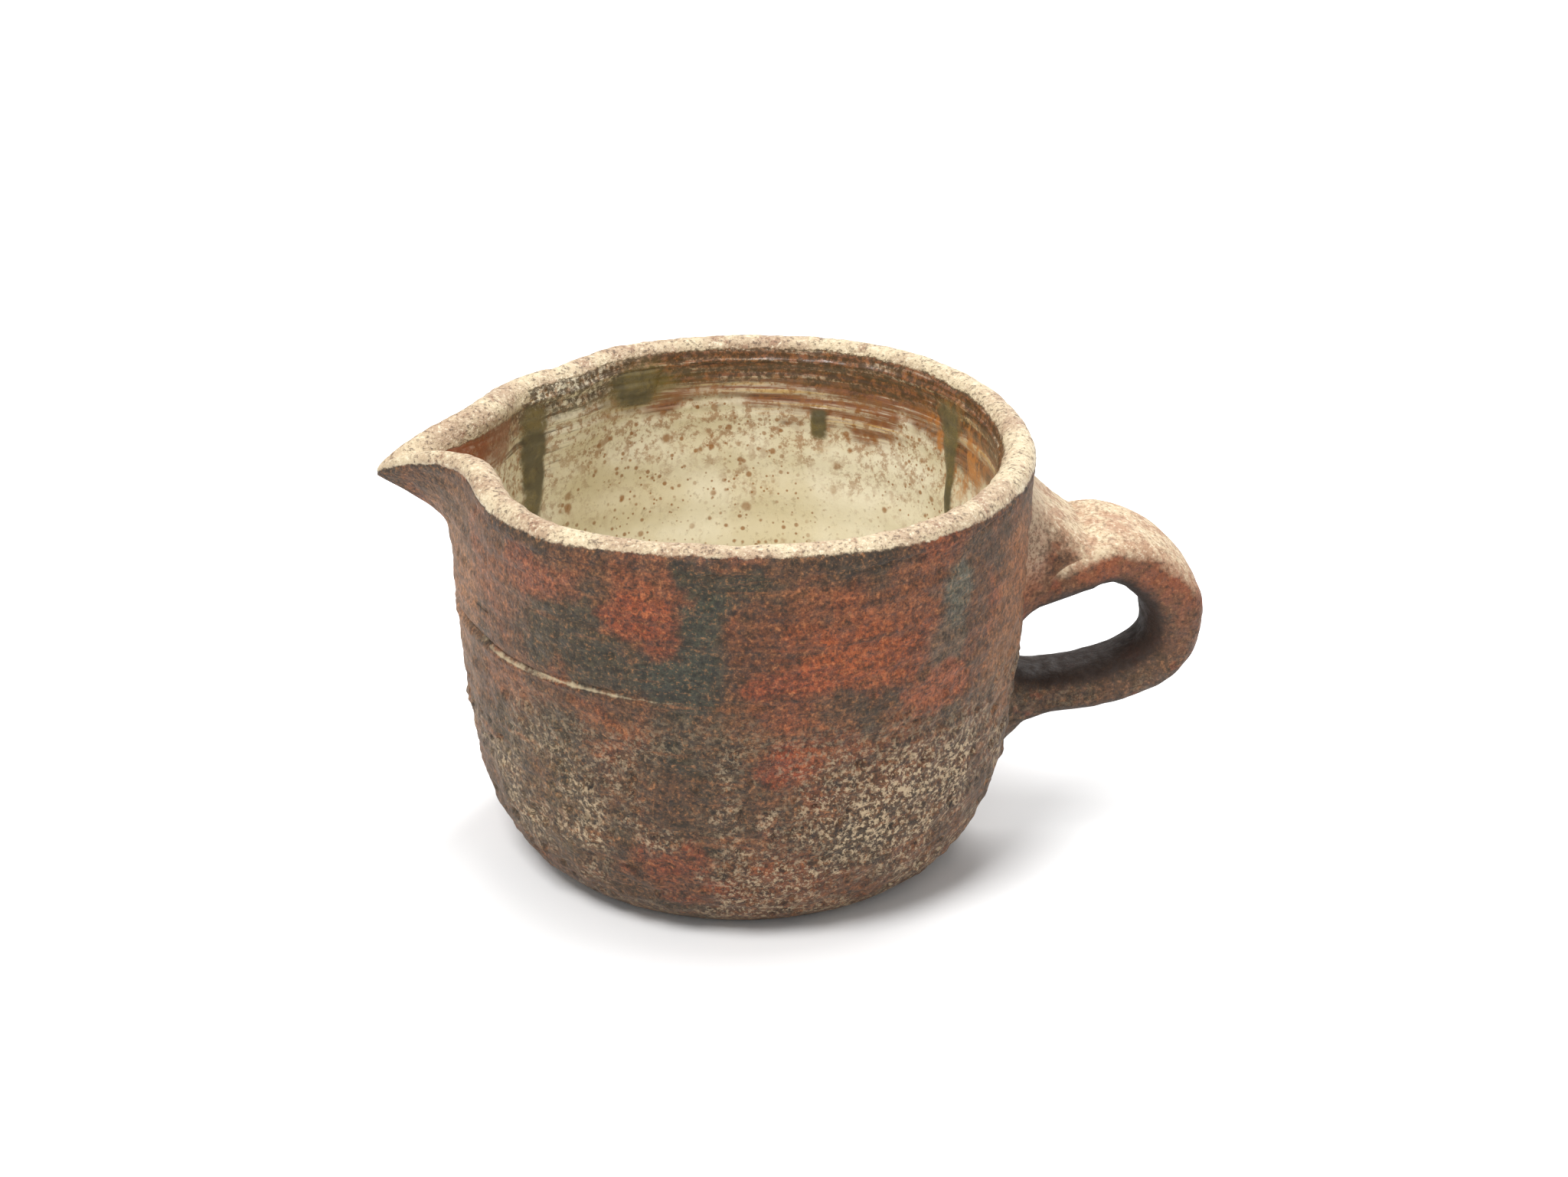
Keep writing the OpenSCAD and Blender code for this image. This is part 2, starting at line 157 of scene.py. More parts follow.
def rod(name, sides, courses, radius, length, middle, ends="NGON"):
    """A rod of clay, ringed all along, where a piece is to be pressed."""
    bpy.ops.object.select_all(action="DESELECT")
    bpy.ops.mesh.primitive_cylinder_add(
        vertices=sides, radius=radius * MM, depth=length * MM, end_fill_type=ends,
        location=[x * MM for x in middle]
    )
    piece = bpy.context.object
    piece.name = name
    bpy.ops.object.transform_apply(location=True, rotation=True, scale=True)
    open_mesh("EDGE")
    bpy.ops.object.mode_set(mode="OBJECT")
    at = piece.data.vertices
    for edge in piece.data.edges:
        a, b = edge.vertices
        edge.select = abs(at[a].co.z - at[b].co.z) > length * MM / 2
    bpy.ops.object.mode_set(mode="EDIT")
    bpy.ops.mesh.subdivide_edgering(number_cuts=courses - 1, interpolation="LINEAR", smoothness=0)
    bpy.ops.object.mode_set(mode="OBJECT")
    co = read_points(piece)
    x, y = co[:, 0] - middle[0], co[:, 1] - middle[1]
    turn = np.degrees(np.arctan2(y, x)) % 360
    column = np.rint(turn / 360 * sides).astype(int) % sides
    course = np.rint(((co[:, 2] - middle[2]) / length + 0.5) * courses).astype(int)
    hub = np.hypot(x, y) < radius / 4
    course = np.where(hub, np.where(course == 0, -1, courses + 1), course)
    return piece, column, course


def ring(name, around, across, major, minor, middle):
    """A closed ring of clay, for the worked clay round a root."""
    bpy.ops.object.select_all(action="DESELECT")
    bpy.ops.mesh.primitive_torus_add(
        major_segments=around, minor_segments=across, major_radius=major * MM,
        minor_radius=minor * MM, location=[x * MM for x in middle]
    )
    piece = bpy.context.object
    piece.name = name
    bpy.ops.object.transform_apply(location=True, rotation=True, scale=True)
    co = read_points(piece) - np.array(middle)
    turn = np.degrees(np.arctan2(co[:, 1], co[:, 0])) % 360
    roll = np.degrees(np.arctan2(co[:, 2], np.hypot(co[:, 0], co[:, 1]) - major)) % 360
    column = np.rint(turn / 360 * around).astype(int) % around
    row = np.rint(roll / 360 * across).astype(int) % across
    return piece, column, row


def read_points(piece):
    co = np.zeros(len(piece.data.vertices) * 3)
    piece.data.vertices.foreach_get("co", co)
    return co.reshape(-1, 3) / MM


def write_points(piece, points):
    piece.data.vertices.foreach_set("co", (points * MM).astype(np.float32).ravel())
    piece.data.update()


def mark(piece, name, values):
    """Keeps a value at each point of a piece, for its material."""
    kept = piece.data.attributes.new(name, "FLOAT", "POINT")
    kept.data.foreach_set("value", np.asarray(values, np.float32))


def finish_skin(piece, sharp=60):
    """Faces turned outwards, and smooth apart from the real edges."""
    bpy.ops.object.select_all(action="DESELECT")
    piece.select_set(True)
    bpy.context.view_layer.objects.active = piece
    bpy.ops.object.mode_set(mode="EDIT")
    bpy.ops.mesh.select_all(action="SELECT")
    bpy.ops.mesh.remove_doubles(threshold=0.000001)
    bpy.ops.mesh.normals_make_consistent(inside=False)
    bpy.ops.object.mode_set(mode="OBJECT")
    bpy.ops.object.shade_smooth_by_angle(angle=math.radians(sharp))
    return piece


def stand(r, z, bearing):
    b = np.radians(bearing)
    return np.stack([r * np.cos(b), r * np.sin(b), z + 0 * b], axis=1)


# The uneven hand of the maker

def lean(points):
    """The slow unevenness of the rim, the same for every piece that it runs through."""
    x, y, z = points.T
    bearing = np.degrees(np.arctan2(y, x))
    rise = smooth(z, 34, 71)
    out = (
        0.75 * bump(bearing, 50, 26) - 2.3 * bump(bearing, 134, 11) + 1.2 * bump(bearing, -127, 12)
        - 0.6 * bump(bearing, -152, 9) + 0.3 * bump(bearing, -60, 16)
    )
    up = 0.35 * bump(bearing, 52, 22) - 0.35 * bump(bearing, 100, 20) + 0.75 * bump(bearing, -88, 38)
    r = np.hypot(x, y)
    share = 1 + out * rise * smooth(r, 20, 40) / np.maximum(r, 1)
    return np.stack([x * share, y * share, z + up * rise * rise], axis=1)


def outer_marks(bearing, z, points):
    """How far the outside stands out: throwing ridges, incised lines, grit, crust and pits."""
    low = 1 - smooth(z, 30, 52)
    drift = 1.6 * np.sin(np.radians(bearing * 2 + 40)) + 0.8 * np.sin(np.radians(bearing * 5))
    ridge = 0.10 * np.sin((z + drift) * 1.15) + 0.07 * np.sin((z - drift) * 2.3 + 1)
    streak = grain(points * [0.35, 0.35, 1.6], 1.5, 3) * 0.07
    coarse = grain(points, 3.6, 5) * mix(0.06, 0.24, low)
    grit = grain(points, 1.5, 7) * mix(0.05, 0.17, low)
    crust_where = smooth(grain(points, 9.0, 11) + 0.5 * bump(bearing, -58, 34), -0.05, 0.5)
    crust = np.maximum(0, grain(points, 1.9, 13) - 0.05) * 0.62 * low * crust_where
    pits = -0.55 * smooth(grain(points, 1.7, 17), 0.52, 0.8) * mix(0.35, 1.0, low)
    one_pit = -0.8 * np.exp(-((bearing + 114.7) / 0.9) ** 2 - ((z - 53.1) / 0.7) ** 2)
    return ridge + streak + coarse + grit + crust + pits + one_pit + incised(bearing, z)


def scratch(bearing, z):
    """How far a point is above the scratched line, and how deep the line is there."""
    wander = 0.55 * np.sin(np.radians(bearing * 3 + 20)) + 0.25 * np.sin(np.radians(bearing * 11))
    line_z = INCISED_Z + wander * 0.6 - 0.6 * smooth(bearing, -110, -80)
    return z - line_z, bump(bearing, -138, 46) * 0.9 + 0.1, wander


def incised(bearing, z):
    """The scratched line round the wall, and two faint ones on the camera's side."""
    above, main, wander = scratch(bearing, z)
    cut = -0.55 * np.exp(-(above / 0.42) ** 2) * main
    lip = 0.30 * np.exp(-((above + 0.95) / 0.5) ** 2) * main
    faint = -0.3 * np.exp(-((z - 42.0 - wander * 0.4) / 0.35) ** 2) * bump(bearing, -77, 12)
    lower = -0.3 * np.exp(-((z - 38.2 + wander * 0.3) / 0.35) ** 2) * bump(bearing, -88, 16)
    return cut + lip + faint + lower


def inner_marks(bearing, z, points):
    """The throwing rings inside: sharp below the rim, broad further down."""
    drift = 0.9 * np.sin(np.radians(bearing + 30)) + 0.4 * np.sin(np.radians(bearing * 4))
    high = smooth(z, 55, 63) * (1 - smooth(z, 69, 71))
    rings = 0.20 * np.sin((z + drift) * 2.5) * high * (0.5 + 0.5 * bump(bearing, 85, 60))
    broad = 0.16 * np.sin((z + drift * 2) * 0.75) * (1 - high)
    return rings + broad + grain(points, 4.0, 23) * 0.06 + grain(points, 1.4, 29) * 0.03


def rim_marks(points):
    """The grainy ash glaze on the rim."""
    return grain(points, 5.0, 31) * 0.10 + grain(points, 1.3, 37) * 0.13 + grain(points, 2.4, 41) * 0.08


# Profiles of the turned pieces, as rows of radius and height

def body_profile():
    under = [(4, 0.5), (10, 0.5), (16, 0.5), (22, 0.5), (27, 0.45), (29.5, 0.1), (31, 0), (32.2, 0)]
    t = np.linspace(0, 1, 36)
    heel = np.stack([bez2(FOOT_R, HEEL_AIM_R, BELLY_R, t), bez2(0, HEEL_AIM_Z, BELLY_Z, t)], 1)
    low = np.linspace(BELLY_Z, SPOUT_Z, 54)[1:]
    high = np.linspace(SPOUT_Z, RIM_Z, 30)[1:]
    wall = np.concatenate([low, high])
    a = np.radians(np.linspace(0, 180, 14)[1:])
    middle, half = (outer_r(RIM_Z) + inner_r(RIM_Z)) / 2, (outer_r(RIM_Z) - inner_r(RIM_Z)) / 2
    rim = np.stack([middle + half * np.cos(a), RIM_Z + RIM_ROUND * np.sin(a)], 1)
    inside = np.linspace(RIM_Z, BELLY_Z, 9)[1:]
    t = np.linspace(0, 1, 7)[1:]
    well = np.stack([
        bez2(BELLY_R - WALL_T, HEEL_AIM_R - WALL_T, WELL_FLAT_R, t),
        bez2(BELLY_Z, FLOOR_T + WELL_LIFT, FLOOR_T, t)
    ], 1)
    rows = [
        np.array([(0, 0.5)]), np.array(under, float), heel, np.stack([outer_r(wall), wall], 1), rim,
        np.stack([inner_r(inside), inside], 1), well, np.array([(8.0, FLOOR_T), (0, FLOOR_T)])
    ]
    first_wall = 1 + len(under)
    last_wall = first_wall + len(heel) + len(wall) - 1
    return np.concatenate(rows), first_wall, last_wall


def with_notch(rows, column_bearing, row, edge_start, edge_end):
    """Rows past the spout's foot are drawn along a ledge there, on the columns that the spout takes."""
    r, z = rows[row].T
    off = np.abs((column_bearing + 360) % 360 - 180)
    inside = off < SPOUT_ANGLE - 0.01
    taken = inside & (row >= edge_start) & (row <= edge_end)
    share = (row - edge_start) / max(1, edge_end - edge_start)
    r = np.where(taken, mix(rows[edge_start][0], rows[edge_end][0], share), r)
    z = np.where(taken, SPOUT_Z, z)
    return r, z, taken


def make_body():
    rows, first_wall, last_wall = body_profile()
    courses = len(rows) - 3
    sides = 540
    piece, column, course = rod(
        "thrown_body_clay", sides, courses, RIM_R, BODY_H, (0, 0, BODY_H / 2), "TRIFAN"
    )
    row = course + 1
    bearing = column * 360 / sides
    bearing = (bearing + 180) % 360 - 180
    heights = rows[:, 1]
    edge_start = int(np.argmin(np.abs(heights[:last_wall] - SPOUT_Z)))
    edge_end = last_wall + int(np.argmax(heights[last_wall + 14:] < SPOUT_Z)) + 14
    rows = rows.copy()
    rows[edge_end] = (float(inner_r(SPOUT_Z)), SPOUT_Z)
    r, z, taken = with_notch(rows, bearing, row, edge_start, edge_end)
    points = stand(r, z, bearing)
    slope = np.gradient(outer_r(np.linspace(0, BODY_H, 200)), BODY_H / 199)
    fall = np.interp(z, np.linspace(0, BODY_H, 200), slope)
    out_r, out_z = 1 / np.sqrt(1 + fall ** 2), -fall / np.sqrt(1 + fall ** 2)
    outside = (row >= first_wall) & (row <= last_wall) & ~(taken & (row > edge_start))
    marks = outer_marks(bearing, z, points) * outside * smooth(z, 0.2, 4)
    marks = marks * (1 - smooth(z, 68.2, RIM_Z))
    above = scratch(bearing, z)[0]
    points = stand(r + marks * out_r, z + marks * out_z, bearing)
    write_points(piece, lean(points))
    mark(piece, "scratch_line", np.exp(-((above + 0.35) / 0.75) ** 2) * bump(bearing, -132, 52) * outside)
    return finish_skin(piece)


# The spout, as upright sections through the jug's axis

def beak_weight(a):
    def fall(b):
        return np.exp(-(np.sqrt(b * b + BEAK_NOSE ** 2) - BEAK_NOSE) / BEAK_SPREAD)
    end = fall(SPOUT_ANGLE)
    return (fall(a) - end) / (1 - end)


def spout_point(a, plain, beak, rise):
    k = beak_weight(a)
    s = np.sin(np.radians(180 * np.abs(a) / SPOUT_ANGLE)) ** 2
    r = mix(plain[0], beak[0], k) - THROAT_PINCH * s * rise
    z = mix(plain[1], beak[1], k * k) + THROAT_LIFT * s * rise * rise
    return r, z


def spout_outside(a, t):
    z = mix(SPOUT_Z, RIM_Z, t)
    foot_r = outer_r(SPOUT_Z)
    beak = (
        bez3(foot_r, foot_r + 0.1, RIM_R + CHIN_OUT, RIM_R + SPOUT_REACH - 0.2, t),
        bez3(SPOUT_Z, SPOUT_Z + THROAT_RISE, SPOUT_Z + CHIN_RISE, BODY_H - SPOUT_DROOP - LIP_TIP_T / 2, t)
    )
    return spout_point(a, (outer_r(z), z), beak, t)


def spout_lip(a, t):
    middle, half = (outer_r(RIM_Z) + inner_r(RIM_Z)) / 2, (outer_r(RIM_Z) - inner_r(RIM_Z)) / 2
    plain = (middle + half * np.cos(np.pi * t), RIM_Z + RIM_ROUND * np.sin(np.pi * t))
    tip_r, tip_z = RIM_R + SPOUT_REACH, BODY_H - SPOUT_DROOP
    end_r, end_z = RIM_R - RIM_T + CHANNEL_REACH, BODY_H - CHANNEL_SILL
    beak = (
        bez3(tip_r - 0.2, tip_r + 0.3, end_r + 2.2, end_r, t),
        bez3(tip_z - LIP_TIP_T / 2, tip_z + LIP_TIP_T * 0.7, end_z + 1.4, end_z, t)
    )
    return spout_point(a, plain, beak, 1)


def spout_inside(a, t):
    z = mix(SPOUT_Z, RIM_Z, t)
    foot_r = inner_r(SPOUT_Z)
    end_r, end_z = RIM_R - RIM_T + CHANNEL_REACH, BODY_H - CHANNEL_SILL
    beak = (
        bez3(foot_r, foot_r + 0.6, end_r - HOLLOW_IN, end_r, t),
        bez3(SPOUT_Z, SPOUT_Z + THROAT_RISE, end_z - HOLLOW_DOWN, end_z, t)
    )
    return spout_point(a, (inner_r(z), z), beak, t)


def spout_bearings(course, courses):
    u = 2 * course / courses - 1
    return np.sign(u) * np.abs(u) ** 1.5 * SPOUT_ANGLE


def stand_spout(r, z, a):
    b = np.radians(a)
    return np.stack([-r * np.cos(b), r * np.sin(b), z], axis=1)


def make_spout():
    outside, lip, inside, floor = 46, 22, 24, 6
    sides, courses = outside + lip + inside + floor, 128
    piece, column, course = rod("spout_clay", sides, courses, 8, 40, (-50, 0, 60))
    a = spout_bearings(course, courses)
    t_out = np.clip(column / outside, 0, 1)
    t_lip = np.clip((column - outside) / lip, 0, 1)
    t_in = 1 - np.clip((column - outside - lip) / inside, 0, 1)
    t_floor = np.clip((column - outside - lip - inside) / floor, 0, 1)
    r, z = spout_outside(a, t_out)
    r_lip, z_lip = spout_lip(a, t_lip)
    r_in, z_in = spout_inside(a, t_in)
    r_floor = mix(inner_r(SPOUT_Z), outer_r(SPOUT_Z), t_floor)
    on_lip = (column > outside) & (column <= outside + lip)
    on_in = (column > outside + lip) & (column <= outside + lip + inside)
    on_floor = column > outside + lip + inside
    points = stand_spout(r, z, a)
    bearing = np.degrees(np.arctan2(points[:, 1], points[:, 0]))
    keep = 1 - 0.75 * beak_weight(a) * t_out
    marks = outer_marks(bearing, z, points) * keep * (1 - smooth(t_out, 0.95, 1))
    r = np.where(on_lip, r_lip, np.where(on_in, r_in, np.where(on_floor, r_floor, r + marks)))
    z = np.where(on_lip, z_lip, np.where(on_in, z_in, np.where(on_floor, SPOUT_Z, z)))
    write_points(piece, lean(stand_spout(r, z, a)))
    return finish_skin(piece)


# The handle and the clay worked over its roots

STRAP_START = np.array([float(outer_r(HANDLE_TOP_Z)) + TOP_LUTE_OUT, HANDLE_TOP_Z])
STRAP_BEND = np.array([BEND_R, BEND_Z])
STRAP_FINISH = np.array([float(outer_r(HANDLE_LOW_Z)) + LOW_LUTE_OUT, HANDLE_LOW_Z])


def strap_middle(u):
    u = np.asarray(u, float)[:, None]
    upper = bez3(
        STRAP_START, STRAP_START + [HANDLE_RUN, HANDLE_SPRING], STRAP_BEND + [0, BEND_ABOVE],
        STRAP_BEND, np.minimum(u, 1)
    )
    lower = bez3(
        STRAP_BEND, STRAP_BEND - [0, BEND_BELOW],
        np.array([BEND_R + LOW_AIM_OUT, HANDLE_LOW_Z + LOW_AIM_UP]), STRAP_FINISH,
        np.maximum(u, 1) - 1
    )
    return np.where(u <= 1, upper, lower)


def strap_run(u):
    step = strap_middle(np.minimum(2, u + 0.01)) - strap_middle(np.maximum(0, u - 0.01))
    return step / np.linalg.norm(step, axis=1)[:, None]


def strap_w(u):
    first = mix(TOP_W, BEND_W, np.clip(u, 0, 1) ** 0.8)
    return np.where(u <= 1, first, mix(BEND_W, LOW_W, np.clip(u - 1, 0, 1)))


def strap_t(u):
    return np.where(u <= 1, mix(TOP_T, BEND_T, np.clip(u, 0, 1)), mix(BEND_T, LOW_T, np.clip(u - 1, 0, 1)))


def square_off(v):
    return np.sign(v) * np.abs(v) ** (2 / STRAP_SQUARE)


def strap_points(u, turn, grow=0.0):
    """Points on the strap: reach, side and height, from the place along it and the turn round it."""
    middle, along = strap_middle(u), strap_run(u)
    c, s = np.cos(np.radians(turn)), np.sin(np.radians(turn))
    side = (strap_w(u) / 2 + grow) * square_off(c)
    rise = (strap_t(u) / 2 + grow) * square_off(s)
    return np.stack([middle[:, 0] - along[:, 1] * rise, side, middle[:, 1] + along[:, 0] * rise], 1)


def on_wall(side, z, clear=0.0):
    return np.stack([np.sqrt(np.maximum(0, outer_r(z) ** 2 - side ** 2)) + clear, side, z], 1)


def turned(points):
    """The handle is set a few degrees off the spout's line."""
    a = math.radians(HANDLE_TURN)
    x, y, z = points.T
    return np.stack([x * math.cos(a) - y * math.sin(a), x * math.sin(a) + y * math.cos(a), z], 1)


def handle_marks(points):
    return grain(points, 6.0, 43) * 0.16 + grain(points, 2.2, 47) * 0.10 + grain(points, 1.2, 53) * 0.06


def make_handle():
    sides, courses, root = 112, 190, 7
    piece, column, course = rod("handle_strap", sides, courses, 7, 60, (60, 0, 37))
    turn = (column + 0.5) * 360 / sides
    u = np.clip((course - root) / (courses - 2 * root) * 2, 0, 2)
    points = strap_points(u, turn)
    along = strap_run(u)
    back = np.clip((root - course) / root, 0, 1) + np.clip((course - courses + root) / root, 0, 1)
    slope = along[:, 1] / along[:, 0]
    carry = (points[:, 0] - outer_r(points[:, 2]) + 1.5) * back
    points = points - np.stack([carry, 0 * carry, slope * carry], 1)
    c, s = square_off(np.cos(np.radians(turn))), square_off(np.sin(np.radians(turn)))
    outward = np.stack([-along[:, 1] * s, c, along[:, 0] * s], 1)
    outward /= np.linalg.norm(outward, axis=1)[:, None]
    points = points + outward * (handle_marks(points) * (1 - smooth(back, 0, 0.3)))[:, None]
    write_points(piece, turned(points))
    mark(piece, "outer_face", np.sin(np.radians(turn)))
    return finish_skin(piece)


def make_lute(name, u_end, reach_over, reach_under, up, slip_up):
    """A fillet of worked clay from the strap's end to the wall, tangent to both."""
    around, skin, seat = 160, 30, 6
    across = skin + seat
    end = np.zeros(around) + u_end
    piece, column, row = ring(name, around, across, 8, 2, (55, 0, float(strap_middle(end)[0, 1])))
    turn = (column + 0.5) * 360 / around
    u = np.zeros(len(column)) + u_end
    inset = np.zeros(len(column)) + abs(u_end - slip_up)
    on_strap = strap_points(inset, turn, -0.12)
    along = strap_run(inset) * (-1 if u_end == 0 else 1)
    ring_at = strap_points(u, turn)
    slope = strap_run(u)[:, 1] / strap_run(u)[:, 0]
    carry = ring_at[:, 0] - outer_r(ring_at[:, 2])
    root_z = ring_at[:, 2] - slope * carry
    c, s = np.cos(np.radians(turn)), np.sin(np.radians(turn)) * up
    w, t = float(strap_w(np.array([u_end]))[0]), float(strap_t(np.array([u_end]))[0])
    nc = np.sign(c) * np.abs(c) ** (2 - 2 / STRAP_SQUARE) / w
    ns = np.sign(s) * np.abs(s) ** (2 - 2 / STRAP_SQUARE) / t
    size = np.hypot(nc, ns)
    nc, ns = nc / size, ns / size
    over, under = np.maximum(0, ns) ** 4, np.maximum(0, -ns) ** 3
    reach = SIDE_SPREAD + (reach_over - SIDE_SPREAD) * over + (reach_under - SIDE_SPREAD) * under
    broad = (0.10 - 0.07 * over) * np.sin(np.radians(turn * 3 + 50))
    reach = reach * (1 + broad + 0.02 * np.sin(np.radians(turn * 7)))
    way_y, way_z = nc, ns
    if up < 0:
        way_y = mix(nc, -TAIL_NARROWING * ring_at[:, 1] / LOW_W, under)
        way_z = mix(ns, -1, under)
        size = np.hypot(way_y, way_z)
        way_y, way_z = way_y / size, way_z / size
    foot_y = ring_at[:, 1]
    edge = on_wall(foot_y + way_y * reach, np.maximum(root_z + way_z * reach, 2), -0.2)
    full = over if up > 0 else 0 * over
    lean_in = mix(0.4, 0.92, full)
    near = on_wall(foot_y + way_y * reach * lean_in, np.maximum(root_z + way_z * reach * lean_in, 2), 0.0)
    flat_run = np.linalg.norm(on_strap - near, axis=1)[:, None]
    aim = np.stack([along[:, 0], 0 * c, along[:, 1]], 1)
    first = on_strap + aim * flat_run * mix(0.62, 0.14, full)[:, None]
    first[:, 2] += FILLET_FULLNESS * full
    v = np.clip(row / skin, 0, 1)[:, None]
    curve = bez3(on_strap, first, near, edge, v)
    back = np.clip((row - skin) / seat, 0, 1)[:, None]
    deep = on_wall(foot_y * 0.9, root_z, -1.2)
    inner = strap_points(u, turn, -1.0)
    hidden = bez3(edge, deep, deep, inner, np.minimum(back * 1.0, 1))
    points = np.where(row[:, None] <= skin, curve, hidden)
    swell = np.sin(np.pi * v[:, 0]) * (row <= skin)
    lump = grain(points, 5.5, 59) * 0.22 + grain(points, 2.0, 61) * 0.12 + grain(points, 1.2, 67) * 0.06
    points = points + np.stack([0 * lump + lump * swell * 0.8, nc * lump * swell, ns * lump * swell], 1)
    write_points(piece, turned(points))
    mark(piece, "outer_face", np.sin(np.radians(turn)) * (1 - v[:, 0] * 0.6))
    return finish_skin(piece, 75)


# The glazes

def moved_rows(rows, distance):
    """A profile moved to its left."""
    step = np.gradient(rows, axis=0)
    step /= np.linalg.norm(step, axis=1)[:, None]
    return rows + distance * np.stack([-step[:, 1], step[:, 0]], 1)


def lining_profile():
    inside = np.concatenate([np.linspace(RIM_Z + 1.0, SPOUT_Z, 42), np.linspace(SPOUT_Z, BELLY_Z, 46)[1:]])
    above_rim = inner_r(np.minimum(inside, RIM_Z)) + (inside - RIM_Z) * 0.5
    radius = np.where(inside > RIM_Z, above_rim, inner_r(inside))
    t = np.linspace(0, 1, 34)[1:]
    well = np.stack([
        bez2(BELLY_R - WALL_T, HEEL_AIM_R - WALL_T, WELL_FLAT_R, t),
        bez2(BELLY_Z, FLOOR_T + WELL_LIFT, FLOOR_T, t)
    ], 1)
    flat = np.stack([np.linspace(WELL_FLAT_R, 1.2, 26)[1:], np.full(25, FLOOR_T)], 1)
    front = np.concatenate([np.stack([radius, inside], 1), well, flat])
    front = moved_rows(front, -LINING_T)
    back = np.array([
        (6, FLOOR_T), (WELL_FLAT_R, FLOOR_T), (34.6, 9.4), (39.4, 14.6), (BELLY_R - WALL_T, BELLY_Z)
    ], float)
    rise = np.array([30.0, 40.0, SPOUT_Z, 56, 60, 65, RIM_Z])
    back = np.concatenate([back, np.stack([inner_r(rise), rise], 1)])
    ends = np.array([(0, FLOOR_T)]), np.array([(0, FLOOR_T + LINING_T)])
    return np.concatenate([ends[0], back, front, ends[1]]), 1 + len(back)


def make_lining():
    rows, front = lining_profile()
    sides = 540
    courses = len(rows) - 3
    piece, column, course = rod(
        "glaze_lining_coat", sides, courses, RIM_R - RIM_T, BODY_H - FLOOR_T,
        (0, 0, (BODY_H + FLOOR_T) / 2), "TRIFAN"
    )
    row = course + 1
    bearing = (column * 360 / sides + 180) % 360 - 180
    r, z = rows[row].T
    off = np.abs((bearing + 360) % 360 - 180)
    taken = (off < SPOUT_ANGLE - 0.01) & (z > SPOUT_Z)
    first = 1 + int(np.argmax(rows[1:front, 1] >= SPOUT_Z))
    last = front + int(np.argmin(np.abs(rows[front:front + 60, 1] - SPOUT_Z)))
    share = np.clip((row - first) / (last - first), 0, 1)
    r = np.where(taken, mix(rows[first][0], rows[last][0], share), r)
    z = np.where(taken, SPOUT_Z, z)
    points = stand(r, z, bearing)
    marks = inner_marks(bearing, z, points) * (row >= front) * ~taken
    floor = smooth(z, FLOOR_T + 1, 16)
    spiral = 0.12 * np.sin(r * 0.9 + np.radians(bearing)) * (1 - floor) * smooth(r, 1, 6) * (row >= front)
    points = stand(r - marks * floor, z + spiral, bearing)
    write_points(piece, lean(points))
    return finish_skin(piece)


def make_rim_glaze():
    """The ash glaze laid over the rim: it thins out to an uneven edge on both sides."""
    top, under = 34, 10
    sides, courses = top + under, 620
    piece, column, course = rod("rim_glaze_coat", sides, courses, 3, 60, (0, -45, 70))
    bearing = mix(180 + SPOUT_ANGLE, 540 - SPOUT_ANGLE, course / courses)
    ragged_points = stand(50 + 0 * bearing, 0 * bearing, bearing)
    low_edge = 2.1 + 1.0 * grain(ragged_points, 7, 71) + 0.7 * grain(ragged_points, 2.2, 73)
    in_edge = 2.4 + 0.8 * grain(ragged_points, 6, 79)
    middle, half = (outer_r(RIM_Z) + inner_r(RIM_Z)) / 2, (outer_r(RIM_Z) - inner_r(RIM_Z)) / 2
    t = np.clip(column / (top - 1), 0, 1)
    down_out, down_in = 0.24, 0.24
    arc = np.clip((t - down_out) / (1 - down_out - down_in), 0, 1)
    z_out = RIM_Z - low_edge * np.clip(1 - t / down_out, 0, 1)
    z_in = RIM_Z - in_edge * np.clip((t - 1 + down_in) / down_in, 0, 1)
    outer_skirt, inner_skirt = t < down_out, t > 1 - down_in
    r_in = inner_r(z_in) - 0.5 * smooth(t, 0.76, 0.82)
    r_top = middle + half * np.cos(np.pi * arc)
    r = np.where(outer_skirt, outer_r(z_out), np.where(inner_skirt, r_in, r_top))
    z_top = RIM_Z + RIM_ROUND * np.sin(np.pi * arc)
    z = np.where(outer_skirt, z_out, np.where(inner_skirt, z_in, z_top))
    spread = smooth(t, 0, 0.22) * (1 - smooth(t, 0.8, 1))
    coat = mix(-0.35, RIM_GLAZE_T, spread)
    points = stand(r, z, bearing)
    marks = coat + rim_marks(points) * spread
    lift_r = np.where(outer_skirt, 1, np.where(inner_skirt, -1, np.cos(np.pi * arc)))
    lift_z = np.where(outer_skirt | inner_skirt, 0, np.sin(np.pi * arc))
    across_under = np.clip((column - top + 1) / (under + 1), 0, 1)
    r_under = mix(inner_r(RIM_Z) + 0.8, outer_r(RIM_Z) - 0.8, across_under)
    hidden = column >= top
    r = np.where(hidden, r_under, r + marks * lift_r)
    z = np.where(hidden, RIM_Z - 1.2, z + marks * lift_z)
    write_points(piece, lean(stand(r, z, bearing)))
    # The pale band keeps to the crest on the camera's side and comes further down elsewhere
    outer_limit = mix(0.27, 0.37, bump(bearing, -95, 48))
    mark(piece, "rim_band", smooth(t, outer_limit - 0.07, outer_limit + 0.07) * (1 - smooth(t, 0.60, 0.74)))
    mark(piece, "inner_side", smooth(t, 0.48, 0.60))
    return finish_skin(piece, 75)


